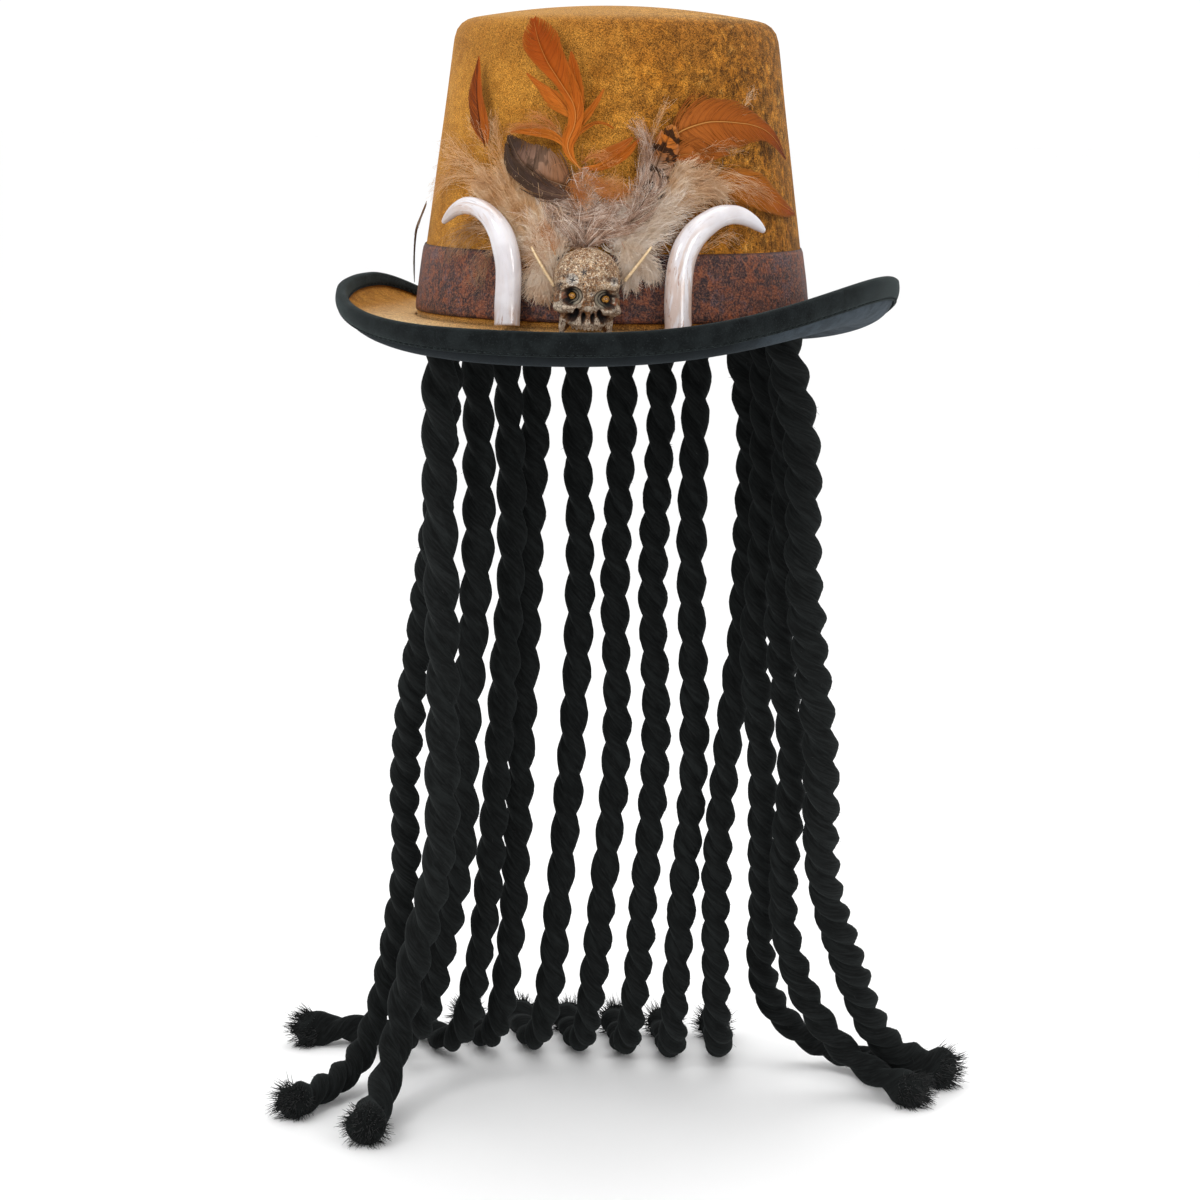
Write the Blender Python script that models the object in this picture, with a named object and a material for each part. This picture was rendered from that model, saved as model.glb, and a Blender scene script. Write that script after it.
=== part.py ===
"""A costume top hat: a tapered velvet crown on a curled brim, dressed at the front with a skull,
two horns and feathers, with long twisted locks hanging from inside the crown. The origin is the
centre of the head opening, where the crown meets the brim; the front looks along -Y. Lengths are
in millimetres, and mesh_object() and rod() turn them into metres."""

import math

import bmesh
import bpy
import numpy as np
from mathutils import Vector

MM = 0.001
AROUND = 36  # sections round the crown, the brim and the band
GAP = 0.3  # between two pieces that touch on the real hat

# Crown: a felt shell, oval at its foot and at its shoulder, with a rounded shoulder and a low dome.
FOOT_X = 98.2
FOOT_Y = 101.4
SHOULDER_X = 80.3
SHOULDER_Y = 83.7
SHOULDER_Z = 137.0
SHOULDER_RADIUS = 11.0
DOME_RISE = 6.5
FELT = 2.5

# Band: a strip of thin leatherette glued round the crown just above the brim.
BAND_BOTTOM = 4.3
BAND_HEIGHT = 32.5
BAND_THICK = 1.2

# Brim: it dips at the front and the back, rises at both sides and curls up all round its edge.
EDGE_X = 138.4
EDGE_Y = 142.4
EDGE_SHIFT_X = 2.5
CURL_TURN = math.radians(12.0)  # the sides' rise is turned this far round the hat
EDGE_FRONT_Z = 1.1
EDGE_BACK_Z = -11.4
EDGE_LEFT_Z = 17.1
EDGE_RIGHT_Z = 24.1
RISE_POWER = {"front_left": 3.6, "front_right": 3.4, "back_left": 7.2, "back_right": 2.8}
CURL = {"front": 26.1, "back": 14.6, "left": 15.6, "right": 24.6}  # the curl's handle below the edge
CURL_POWER = 1.7
DIP_Z = {"front_and_back": -8.0, "sides": 1.0}  # the inner handle's height
DIP_REACH = 0.40
BRIM_TOP_THICK = 1.5
UNDERBRIM_THICK = 1.1
BRIM_ROWS = (0.0, 0.25, 0.45, 0.6, 0.72, 0.8, 0.86, 0.92, 0.985)  # shares along the brim's curve

# Binding: a folded strip over the edge of both brim layers.
BINDING_FROM = 6  # the row of BRIM_ROWS that it reaches back to
BINDING_THICK = 1.0
EDGE_FOLD = 1.6

# Ornaments, as (angle from the front in degrees, height, stand-off from the crown).
SKULL_PLACE = (3.0, 21.5, 3.6)
SKULL_TURN = math.radians(9.0)  # it looks this much further round than where it is glued
SKULL_TILT = math.radians(3.5)
HORN_LEFT = (
    {"angle": -18.2, "height": 2.5, "off": 9.4, "radius": 6.1},
    {"angle": -18.5, "height": 12.0, "off": 9.4, "radius": 6.3},
    {"angle": -18.5, "height": 22.0, "off": 9.9, "radius": 6.2},
    {"angle": -18.8, "height": 31.0, "off": 10.6, "radius": 6.2},
    {"angle": -20.0, "height": 40.0, "off": 11.5, "radius": 6.2},
    {"angle": -21.8, "height": 47.0, "off": 12.1, "radius": 5.8},
    {"angle": -25.2, "height": 53.2, "off": 12.2, "radius": 5.0},
    {"angle": -29.2, "height": 56.8, "off": 12.2, "radius": 4.5},
    {"angle": -33.6, "height": 57.8, "off": 12.2, "radius": 4.1},
    {"angle": -37.5, "height": 55.6, "off": 12.2, "radius": 3.2},
    {"angle": -40.3, "height": 52.3, "off": 12.2, "radius": 2.3},
    {"angle": -42.0, "height": 49.8, "off": 12.2, "radius": 1.4},
)
HORN_RIGHT = (
    {"angle": 26.1, "height": 2.3, "off": 9.4, "radius": 6.4},
    {"angle": 26.1, "height": 13.4, "off": 9.5, "radius": 6.5},
    {"angle": 26.4, "height": 23.0, "off": 9.8, "radius": 6.5},
    {"angle": 27.0, "height": 31.5, "off": 10.2, "radius": 6.45},
    {"angle": 28.3, "height": 39.0, "off": 10.5, "radius": 6.4},
    {"angle": 30.6, "height": 45.4, "off": 10.6, "radius": 6.3},
    {"angle": 33.8, "height": 50.4, "off": 10.6, "radius": 5.9},
    {"angle": 38.0, "height": 54.4, "off": 10.6, "radius": 5.3},
    {"angle": 42.0, "height": 55.7, "off": 10.6, "radius": 4.7},
    {"angle": 45.6, "height": 55.0, "off": 10.6, "radius": 4.2},
    {"angle": 48.9, "height": 52.8, "off": 10.6, "radius": 3.4},
    {"angle": 51.4, "height": 50.3, "off": 10.6, "radius": 2.6},
    {"angle": 53.1, "height": 48.2, "off": 10.6, "radius": 1.6},
)

# Feathers: rows along the shaft, with the reach of the barbs to the left and right of it.
FEATHERS = {
    "feather_orange_tall": (
        {"angle": 2.0, "height": 72.0, "off": 8.2, "left": 2.0, "right": 2.0},
        {"angle": -1.6, "height": 84.0, "off": 7.8, "left": 5.0, "right": 5.5},
        {"angle": -4.6, "height": 97.0, "off": 7.2, "left": 9.5, "right": 8.5},
        {"angle": -7.6, "height": 110.0, "off": 6.4, "left": 11.0, "right": 10.0},
        {"angle": -11.6, "height": 123.0, "off": 5.6, "left": 10.0, "right": 8.5},
        {"angle": -15.4, "height": 134.0, "off": 5.0, "left": 6.5, "right": 6.0},
        {"angle": -18.0, "height": 143.0, "off": 4.6, "left": 1.2, "right": 1.2},
    ),
    "feather_maroon": (
        {"angle": -33.0, "height": 83.0, "off": 6.2, "left": 1.5, "right": 1.5},
        {"angle": -36.0, "height": 95.0, "off": 6.0, "left": 6.0, "right": 5.0},
        {"angle": -38.2, "height": 106.0, "off": 5.6, "left": 6.5, "right": 5.5},
        {"angle": -39.4, "height": 117.0, "off": 5.0, "left": 4.0, "right": 3.5},
        {"angle": -40.0, "height": 128.0, "off": 4.6, "left": 0.8, "right": 0.8},
    ),
    "feather_barred_left": (
        {"angle": -0.5, "height": 66.0, "off": 5.6, "left": 2.5, "right": 2.5},
        {"angle": -7.0, "height": 71.5, "off": 5.6, "left": 10.0, "right": 9.0},
        {"angle": -13.5, "height": 78.0, "off": 5.6, "left": 13.0, "right": 11.0},
        {"angle": -19.5, "height": 84.5, "off": 5.6, "left": 11.0, "right": 9.0},
        {"angle": -25.0, "height": 91.0, "off": 5.4, "left": 3.0, "right": 3.0},
    ),
    "feather_barred_right": (
        {"angle": 12.0, "height": 48.0, "off": 5.6, "left": 2.0, "right": 2.0},
        {"angle": 14.4, "height": 60.0, "off": 5.6, "left": 6.0, "right": 6.0},
        {"angle": 17.6, "height": 72.0, "off": 5.6, "left": 7.5, "right": 7.5},
        {"angle": 21.4, "height": 84.0, "off": 5.6, "left": 7.0, "right": 7.0},
        {"angle": 25.6, "height": 95.0, "off": 5.6, "left": 2.5, "right": 2.5},
    ),
    "feather_orange_wide": (
        {"angle": 24.5, "height": 83.0, "off": 2.6, "left": 2.0, "right": 2.0},
        {"angle": 29.5, "height": 92.5, "off": 3.0, "left": 8.0, "right": 8.0},
        {"angle": 37.0, "height": 98.5, "off": 3.6, "left": 13.0, "right": 12.0},
        {"angle": 45.5, "height": 99.6, "off": 4.0, "left": 14.5, "right": 12.5},
        {"angle": 54.0, "height": 96.5, "off": 4.4, "left": 12.0, "right": 9.0},
        {"angle": 61.0, "height": 90.0, "off": 4.8, "left": 7.0, "right": 5.0},
        {"angle": 66.0, "height": 81.5, "off": 5.0, "left": 1.0, "right": 1.0},
    ),
    "feather_orange_low": (
        {"angle": 28.0, "height": 76.0, "off": 1.2, "left": 2.0, "right": 2.0},
        {"angle": 38.0, "height": 75.5, "off": 1.2, "left": 7.0, "right": 7.0},
        {"angle": 48.0, "height": 71.0, "off": 1.3, "left": 9.0, "right": 9.0},
        {"angle": 58.0, "height": 65.0, "off": 1.5, "left": 7.5, "right": 7.5},
        {"angle": 66.0, "height": 59.0, "off": 1.8, "left": 4.5, "right": 4.5},
        {"angle": 72.5, "height": 53.5, "off": 2.2, "left": 0.8, "right": 0.8},
    ),
    "feather_orange_curl": (
        {"angle": 3.5, "height": 79.0, "off": 5.4, "left": 1.5, "right": 1.5},
        {"angle": 7.0, "height": 83.0, "off": 5.4, "left": 3.5, "right": 3.5},
        {"angle": 11.0, "height": 86.5, "off": 5.4, "left": 3.0, "right": 3.0},
        {"angle": 14.5, "height": 91.0, "off": 5.4, "left": 0.8, "right": 0.8},
    ),
    "feather_brown_hanging": (
        {"angle": -66.0, "height": 58.0, "off": 3.8, "left": 0.9, "right": 0.9},
        {"angle": -70.0, "height": 50.0, "off": 4.9, "left": 1.4, "right": 1.4},
        {"angle": -72.6, "height": 42.5, "off": 5.5, "left": 1.7, "right": 1.7},
        {"angle": -74.0, "height": 33.0, "off": 5.0, "left": 1.4, "right": 1.4},
        {"angle": -74.0, "height": 25.0, "off": 4.1, "left": 1.4, "right": 1.4},
        {"angle": -73.2, "height": 17.5, "off": 3.2, "left": 0.6, "right": 0.6},
    ),
}
FEATHER_THICK = 0.7

# Down: soft masses lying on the crown, as broad plumes with a rounded face.
DOWN = {
    "down_left": (
        {"angle": -25.0, "height": 27.0, "left": 3.0, "right": 3.0, "deep": 1.6},
        {"angle": -29.5, "height": 39.0, "left": 15.0, "right": 11.0, "deep": 2.4},
        {"angle": -34.0, "height": 52.0, "left": 22.0, "right": 20.0, "deep": 2.7},
        {"angle": -38.0, "height": 66.0, "left": 22.0, "right": 24.0, "deep": 2.7},
        {"angle": -41.0, "height": 79.0, "left": 17.0, "right": 17.0, "deep": 2.4},
        {"angle": -44.0, "height": 91.0, "left": 4.0, "right": 4.0, "deep": 1.6},
    ),
    "down_centre_left": (
        {"angle": -8.6, "height": 14.0, "left": 4.0, "right": 1.5, "deep": 1.6},
        {"angle": -9.2, "height": 24.0, "left": 7.5, "right": 2.5, "deep": 2.4},
        {"angle": -9.6, "height": 36.0, "left": 10.0, "right": 6.0, "deep": 2.7},
        {"angle": -9.2, "height": 48.0, "left": 10.0, "right": 12.0, "deep": 2.7},
        {"angle": -8.4, "height": 60.0, "left": 8.0, "right": 11.0, "deep": 2.2},
        {"angle": -8.0, "height": 68.0, "left": 2.0, "right": 3.0, "deep": 1.4},
    ),
    "down_centre": (
        {"angle": 3.0, "height": 45.0, "left": 3.0, "right": 3.0, "deep": 1.8},
        {"angle": 3.0, "height": 54.0, "left": 7.0, "right": 6.5, "deep": 2.7},
        {"angle": 3.4, "height": 65.0, "left": 7.0, "right": 7.0, "deep": 2.7},
        {"angle": 3.8, "height": 75.0, "left": 3.0, "right": 3.0, "deep": 1.6},
    ),
    "down_right": (
        {"angle": 15.0, "height": 10.0, "left": 2.0, "right": 3.0, "deep": 1.6},
        {"angle": 15.6, "height": 22.0, "left": 2.5, "right": 7.0, "deep": 2.4},
        {"angle": 16.2, "height": 38.0, "left": 10.0, "right": 11.0, "deep": 2.7},
        {"angle": 17.0, "height": 54.0, "left": 12.0, "right": 14.0, "deep": 2.7},
        {"angle": 18.0, "height": 68.0, "left": 10.0, "right": 12.0, "deep": 2.6},
        {"angle": 18.6, "height": 80.0, "left": 3.0, "right": 4.0, "deep": 1.6},
    ),
}
DOWN_OFF = 2.2

QUILLS = {
    "quill_left": ((-13.4, 39.5, 6.6), (-6.4, 22.0, 6.6)),
    "quill_right": ((19.6, 40.5, 6.6), (12.6, 25.0, 6.6)),
}
QUILL_RADIUS = 0.8

# Locks: each one's diameter, and its centre line from inside the crown down to its free end. Their
# last stretches lie on a table 437 below the brim.
LOCKS = {
    "lock_left_1": (19.0, ((-81.6, -22, 7), (-82.5, -22, -12), (-84, -22, -47), (-84.5, -15, -110),
        (-85, -5, -175), (-87, 6, -235), (-88, 10, -254), (-89, 14, -278), (-94, 22, -301),
        (-101, 32, -325), (-110, 43, -353), (-117, 50, -378), (-121, 48, -402), (-123, 33, -419),
        (-124, 8, -427.4), (-123, -6, -427.4), (-122, -20, -427.4))),
    "lock_left_2": (17.0, ((-85, 6, 7), (-85.4, 7, -12), (-88, 12, -50), (-94, 22, -105),
        (-105, 36, -165), (-114, 46, -220), (-119, 55, -265), (-119, 59, -283), (-119, 64, -306),
        (-123, 69, -329), (-128, 73, -352), (-133, 78, -375), (-139, 80, -397), (-144, 75, -414),
        (-150, 62, -425), (-161, 38, -428.4), (-171, 13, -428.4))),
    "lock_left_3": (18.0, ((-77.3, 35.5, 7), (-77.2, 37, -12), (-76.5, 40, -55), (-76, 42, -115),
        (-79, 42, -175), (-84, 44, -230), (-84.5, 50, -280), (-88, 55, -299), (-93, 62, -320),
        (-98, 71, -341), (-104, 80, -361), (-109, 89, -381), (-116, 100, -400), (-125, 114, -416),
        (-137, 130, -426), (-155, 144, -427.9), (-177, 149, -427.9), (-197, 139, -427.9))),
    "lock_left_4": (16.5, ((-66.2, 56, 7), (-66, 57.5, -12), (-64, 61, -60), (-62.5, 65, -130),
        (-67, 70, -195), (-72, 76, -260), (-78, 86, -325), (-80, 89, -340), (-84, 94, -362),
        (-89, 102, -383), (-94, 111, -403), (-101, 123, -421), (-113, 139, -428.6),
        (-127, 157, -428.6), (-140, 176, -428.6))),
    "lock_back_1": (16.5, ((-50.8, 71.5, 7), (-51, 72.5, -12), (-53, 77, -60), (-57, 84, -150),
        (-61, 90, -240), (-66, 101, -325), (-67, 103, -341), (-70, 108, -366), (-74, 115, -391),
        (-80, 127, -413), (-89, 145, -428), (-101, 168, -428.6), (-111, 192, -428.6))),
    "lock_back_2": (16.5, ((-31.5, 82.5, 7), (-31.5, 83, -12), (-32, 87, -60), (-30, 93, -150),
        (-34, 98, -240), (-41, 104, -325), (-43, 106, -342), (-45, 111, -367), (-49, 118, -391),
        (-54, 130, -414), (-63, 149, -428), (-72, 173, -428.6), (-80, 198, -428.6))),
    "lock_back_3": (16.5, ((-10, 88, 7), (-10, 88.3, -12), (-8, 93, -60), (-12, 100, -150),
        (-10, 104, -240), (-17, 107, -325), (-19, 109, -342), (-21, 113, -367), (-25, 120, -391),
        (-29, 132, -413), (-36, 151, -428), (-44, 175, -428.6), (-52, 200, -428.6))),
    "lock_back_4": (16.5, ((12, 88, 7), (12, 88.3, -12), (13, 92, -60), (9, 98, -150),
        (12, 103, -240), (6, 107, -325), (5, 109, -342), (3, 113, -367), (0, 119, -391),
        (-4, 131, -413), (-10, 151, -428), (-16, 175, -428.6), (-23, 200, -428.6))),
    "lock_back_5": (16.5, ((33.5, 81.8, 7), (33.5, 82.5, -12), (32, 86, -60), (31, 92, -150),
        (34, 98, -240), (28, 105, -325), (27, 107, -342), (25, 111, -367), (23, 118, -392),
        (21, 130, -414), (17, 151, -428), (11, 176, -428.6), (5, 201, -428.6))),
    "lock_right_4": (16.5, ((54.5, 67.5, 7), (55.5, 69, -12), (64, 75, -67), (61, 83, -138),
        (59.5, 87.5, -180), (53.5, 92, -228), (48, 98, -290), (47, 101, -306), (47, 105, -329),
        (46, 110, -352), (46, 117, -375), (46, 125, -398), (46, 138, -418), (44, 158, -428),
        (41, 182, -428.6), (35, 205, -428.6))),
    "lock_right_3": (17.0, ((70, 48.5, 7), (71.5, 50, -12), (73, 55, -55), (73, 59, -125),
        (69, 62, -172), (72, 69, -215), (74, 80, -255), (73, 95, -298), (73, 104, -317),
        (72, 112, -334), (70, 124, -356), (70, 137, -377), (74, 150, -397), (84, 161, -414),
        (99, 166, -425), (115, 162, -428.4), (128, 152, -428.4), (139, 140, -428.4))),
    "lock_right_2": (17.0, ((81.5, 25.5, 7), (82.5, 26.5, -12), (86.5, 36, -55), (87, 40, -100),
        (84, 42, -145), (87, 47, -190), (92, 57, -235), (88, 71, -280), (85, 89, -325),
        (87, 94, -341), (91, 101, -361), (98, 108, -381), (108, 115, -400), (123, 116, -416),
        (142, 113, -426), (160, 101, -428.4))),
    "lock_right_1": (20.0, ((84, 1.5, 7), (86.5, 3, -12), (92, 6.5, -35), (97.5, 10, -68),
        (98, 14, -115), (101, 20, -160), (107, 28, -205), (109, 38, -245), (108, 53, -280),
        (109, 63, -298), (112, 76, -320), (118, 88, -341), (123, 100, -362), (129, 112, -384),
        (137, 126, -405), (152, 136, -422), (175, 140, -426.9))),
}
LOCK_SPACING = 24.0
EASE_STEP = 2.5  # a lock's route is eased at this spacing, so that no bend is tight
EASE_ROUNDS = 50


def clear_scene():
    for obj in list(bpy.data.objects):
        bpy.data.objects.remove(obj, do_unlink=True)


def plain_material(name, colour, roughness, metallic=0.0):
    material = bpy.data.materials.new(name)
    material.use_nodes = True
    material.diffuse_color = (*colour, 1.0)
    shader = material.node_tree.nodes["Principled BSDF"]
    shader.inputs["Base Color"].default_value = (*colour, 1.0)
    shader.inputs["Roughness"].default_value = roughness
    shader.inputs["Metallic"].default_value = metallic
    return material


def mesh_object(name, points, faces, material):
    mesh = bpy.data.meshes.new(name)
    mesh.from_pydata([tuple(p) for p in np.asarray(points) * MM], [], faces)
    shape = bmesh.new()
    shape.from_mesh(mesh)
    bmesh.ops.recalc_face_normals(shape, faces=shape.faces)
    shape.to_mesh(mesh)
    shape.free()
    mesh.materials.append(material)
    obj = bpy.data.objects.new(name, mesh)
    bpy.context.scene.collection.objects.link(obj)
    return obj


def grid_faces(rows, columns, rows_close, columns_close):
    """The quads of a grid of points, row by row, with either direction joined to its start."""
    faces = []
    for i in range(rows if rows_close else rows - 1):
        for j in range(columns if columns_close else columns - 1):
            here, there = i * columns, (i + 1) % rows * columns
            ahead = (j + 1) % columns
            faces.append((here + j, here + ahead, there + ahead, there + j))
    return faces


def ring_object(name, sections, material, back=None):
    """A closed loop of closed sections, shaped (around, section points, 3). Where back is true, a
    section runs back towards its start, and its quads are split along the other diagonal, so that
    two layers lying one on the other have matching faces."""
    around, columns = sections.shape[:2]
    faces = []
    for k, (a, b, c, d) in enumerate(grid_faces(around, columns, True, True)):
        crossed = back is not None and back[k % columns]
        faces += [(a, b, d), (b, c, d)] if crossed else [(a, b, c), (a, c, d)]
    return mesh_object(name, sections.reshape(-1, 3), faces, material)


def loft_object(name, rings, material):
    """A stack of closed rings, shaped (rings, around, 3), with its first and last ring filled."""
    count, around = rings.shape[:2]
    faces = grid_faces(count, around, False, True)
    faces.append(tuple(range(around)))
    faces.append(tuple(range((count - 1) * around, count * around)))
    return mesh_object(name, rings.reshape(-1, 3), faces, material)


def angles_around():
    return np.arange(AROUND) * 2 * math.pi / AROUND


def wall_radii(height):
    """Half width and half depth of the straight part of the crown's outside at this height."""
    share = np.asarray(height) / SHOULDER_Z
    return FOOT_X + (SHOULDER_X - FOOT_X) * share, FOOT_Y + (SHOULDER_Y - FOOT_Y) * share


def on_crown(angle, height, off):
    """The point at this angle from the front, in radians, this height and this stand-off."""
    half_x, half_y = wall_radii(height)
    x = (half_x + off) * np.sin(angle)
    y = -(half_y + off) * np.cos(angle)
    return np.stack([x, y, height + 0 * x], axis=-1)


def crown_profile():
    """Rows of (half width, half depth, height) up the outside: wall, shoulder arc and dome."""
    rows = [(*wall_radii(z), z) for z in np.linspace(0.0, SHOULDER_Z, 4)]
    for turn in np.radians([30.0, 60.0, 90.0]):
        inset = SHOULDER_RADIUS * (1 - math.cos(turn))
        rows.append((SHOULDER_X - inset, SHOULDER_Y - inset, SHOULDER_Z + SHOULDER_RADIUS * math.sin(turn)))
    last_x, last_y, last_z = rows[-1]
    for share in (0.66, 0.33, 0.04):
        rows.append((last_x * share, last_y * share, last_z + DOME_RISE * (1 - share**2)))
    return rows


def make_crown(material):
    outside = crown_profile()
    inside = [(x - FELT, y - FELT, z if i == 0 else z - FELT * min(1.0, z / SHOULDER_Z))
              for i, (x, y, z) in enumerate(outside[:-1])]
    phi = angles_around()
    rings = [np.stack([x * np.sin(phi), -y * np.cos(phi), np.full(AROUND, z)], axis=-1)
             for x, y, z in inside[::-1] + outside]
    return loft_object("crown", np.array(rings), material)


def brim_curve(phi, s):
    """The felt's middle surface, from the crown's foot at s = 0 to the curled edge at s = 1. Each
    section is a cubic curve, whose handles hold the dip and whose end holds the edge's height."""
    side = np.sin(phi + CURL_TURN)
    front = np.cos(phi + CURL_TURN) > 0
    left = side < 0
    power = np.where(
        front,
        np.where(left, RISE_POWER["front_left"], RISE_POWER["front_right"]),
        np.where(left, RISE_POWER["back_left"], RISE_POWER["back_right"]),
    )
    low = np.where(front, EDGE_FRONT_Z, EDGE_BACK_Z)
    high = np.where(left, EDGE_LEFT_Z, EDGE_RIGHT_Z)
    edge_z = low + (high - low) * np.abs(side) ** power
    mix = np.abs(side) ** CURL_POWER
    handle_1 = DIP_Z["front_and_back"] + (DIP_Z["sides"] - DIP_Z["front_and_back"]) * mix
    end_curl = np.where(front, CURL["front"], CURL["back"])
    side_curl = np.where(left, CURL["left"], CURL["right"])
    handle_2 = edge_z - end_curl - (side_curl - end_curl) * mix
    first, second, last = 3 * (1 - s) ** 2 * s, 3 * (1 - s) * s**2, s**3
    reach = first * DIP_REACH + second + last
    z = first * handle_1 + second * handle_2 + last * edge_z
    foot_x, foot_y = FOOT_X + GAP + 0.1, FOOT_Y + GAP + 0.1
    x = (foot_x + (EDGE_X - foot_x) * reach) * np.sin(phi) + EDGE_SHIFT_X * reach
    y = -(foot_y + (EDGE_Y - foot_y) * reach) * np.cos(phi)
    return np.stack([x, y, z], axis=-1)


def brim_point(phi, s, off):
    """The point of the brim this far above its middle surface."""
    step = 1e-3
    along = brim_curve(phi, s + step) - brim_curve(phi, s - step)
    across = brim_curve(phi + step, s) - brim_curve(phi - step, s)
    normal = np.cross(along, across)
    normal /= np.linalg.norm(normal, axis=-1, keepdims=True)
    return brim_curve(phi, s) + normal * np.asarray(off)[..., None]


def brim_ring(name, section, material):
    """A piece that follows the brim all round. Its section is rows of (s, off, out): the place on
    the brim's curve, the height above it, and how far past it along the curl."""
    share, off, out = (np.array(column, dtype=float) for column in zip(*section))
    phi, s = np.meshgrid(angles_around(), share, indexing="ij")
    points = brim_point(phi, s, np.broadcast_to(off, s.shape))
    onward = brim_curve(phi, s) - brim_curve(phi, s - 1e-3)
    onward /= np.linalg.norm(onward, axis=-1, keepdims=True)
    back = np.diff(np.append(share, share[0])) < 0
    return ring_object(name, points + onward * out[:, None], material, back)


def brim_layer(name, low, high, material):
    top = [(s, high, 0.0) for s in BRIM_ROWS]
    bottom = [(s, low, 0.0) for s in BRIM_ROWS[::-1]]
    return brim_ring(name, top + bottom, material)


def make_binding(material):
    top = BRIM_TOP_THICK + GAP * 1.5
    bottom = -UNDERBRIM_THICK - GAP * 1.5
    outer_top, outer_bottom = top + BINDING_THICK, bottom - BINDING_THICK
    middle = (top + bottom) / 2
    rows = BRIM_ROWS[BINDING_FROM:]
    section = [(s, outer_top, 0.0) for s in rows]
    section += [(1.0, middle + 1.2, EDGE_FOLD), (1.0, middle - 1.2, EDGE_FOLD)]
    section += [(s, outer_bottom, 0.0) for s in rows[::-1]]
    section += [(s, bottom, 0.0) for s in rows]
    section += [(1.0, bottom, 0.0), (1.0, top, 0.0)]
    section += [(s, top, 0.0) for s in rows[::-1]]
    return brim_ring("brim_binding", section, material)


def make_band(material):
    near = GAP
    far = GAP + BAND_THICK
    top = BAND_BOTTOM + BAND_HEIGHT
    corners = ((near, BAND_BOTTOM), (far, BAND_BOTTOM), (far, top), (near, top))
    sections = [[on_crown(phi, z, off) for off, z in corners] for phi in angles_around()]
    return ring_object("hat_band", np.array(sections), material)


def smooth_route(points, spacing):
    """A Catmull-Rom curve through the points, read off at an even spacing."""
    points = np.array(points, dtype=float)
    ends = np.concatenate([[2 * points[0] - points[1]], points, [2 * points[-1] - points[-2]]])
    fine = []
    for before, here, there, after in zip(ends, ends[1:], ends[2:], ends[3:]):
        t = np.linspace(0, 1, 20, endpoint=False)[:, None]
        fine.append(0.5 * (2 * here + (there - before) * t
                           + (2 * before - 5 * here + 4 * there - after) * t**2
                           + (3 * here - before - 3 * there + after) * t**3))
    fine = np.concatenate([*fine, points[-1:]])
    walked = np.concatenate([[0.0], np.cumsum(np.linalg.norm(np.diff(fine, axis=0), axis=1))])
    stops = np.linspace(0, walked[-1], max(2, round(walked[-1] / spacing) + 1))
    return np.stack([np.interp(stops, walked, fine[:, k]) for k in range(3)], axis=-1)


def rod(name, points, radii, material):
    """A round rod through the points, as a curve with a bevel and filled caps."""
    curve = bpy.data.curves.new(name, "CURVE")
    curve.dimensions = "3D"
    curve.bevel_depth = MM
    curve.bevel_resolution = 2
    curve.use_fill_caps = True
    spline = curve.splines.new("POLY")
    spline.points.add(len(points) - 1)
    for spot, place, radius in zip(spline.points, points, radii):
        spot.co = (*(Vector(place) * MM), 1.0)
        spot.radius = radius
    curve.materials.append(material)
    obj = bpy.data.objects.new(name, curve)
    bpy.context.scene.collection.objects.link(obj)
    return obj


def make_horn(name, rows, material):
    points = [on_crown(math.radians(row["angle"]), row["height"], row["off"]) for row in rows]
    return rod(name, points, [row["radius"] for row in rows], material)


def limp_route(points, spacing):
    """The smooth route with its bends eased, as a limp rope lies: each point between the ends moves
    towards the middle of its two neighbours, again and again."""
    route = smooth_route(points, EASE_STEP)
    for _ in range(EASE_ROUNDS):
        route[1:-1] = (route[:-2] + 2 * route[1:-1] + route[2:]) / 4
    stops = np.linspace(0, len(route) - 1, round(len(route) * EASE_STEP / spacing) + 1)
    return route[np.round(stops).astype(int)]


def make_lock(name, diameter, points, material):
    route = limp_route(points, LOCK_SPACING)
    return rod(name, route, [diameter / 2] * len(route), material)


def make_quill(name, ends, material):
    points = [on_crown(math.radians(angle), height, off) for angle, height, off in ends]
    return rod(name, points, [QUILL_RADIUS] * 2, material)


def plume(name, rows, near, far, material):
    """A closed blade over the crown. Each row is one section across the shaft: near(row) and
    far(row, share) give the stand-off of its inner and outer face at a share of its width."""
    angle = np.radians([row["angle"] for row in rows])
    height = np.array([row["height"] for row in rows])
    radius = sum(wall_radii(height)) / 2
    run = np.gradient(np.stack([angle * radius, height], axis=-1), axis=0)
    run /= np.linalg.norm(run, axis=1, keepdims=True)
    rings = []
    for i, row in enumerate(rows):
        faces = []
        for share in (-1.0, -0.5, 0.0, 0.5, 1.0):
            reach = share * (row["left"] if share < 0 else row["right"])
            turn = angle[i] + run[i, 1] * reach / radius[i]
            rise = height[i] - run[i, 0] * reach
            faces.append((turn, rise, near(row), far(row, share)))
        outer = [on_crown(turn, rise, high) for turn, rise, _, high in faces]
        inner = [on_crown(turn, rise, low) for turn, rise, low, _ in faces[::-1]]
        rings.append(outer + inner)
    return loft_object(name, np.array(rings), material)


def make_feather(name, rows, material):
    return plume(
        name, rows, lambda row: row["off"],
        lambda row, share: row["off"] + FEATHER_THICK * (1 - 0.4 * share**2), material,
    )


def make_down(name, rows, material):
    return plume(
        name, rows, lambda row: DOWN_OFF,
        lambda row, share: DOWN_OFF + row["deep"] * (1 - 0.7 * share**2), material,
    )


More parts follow.
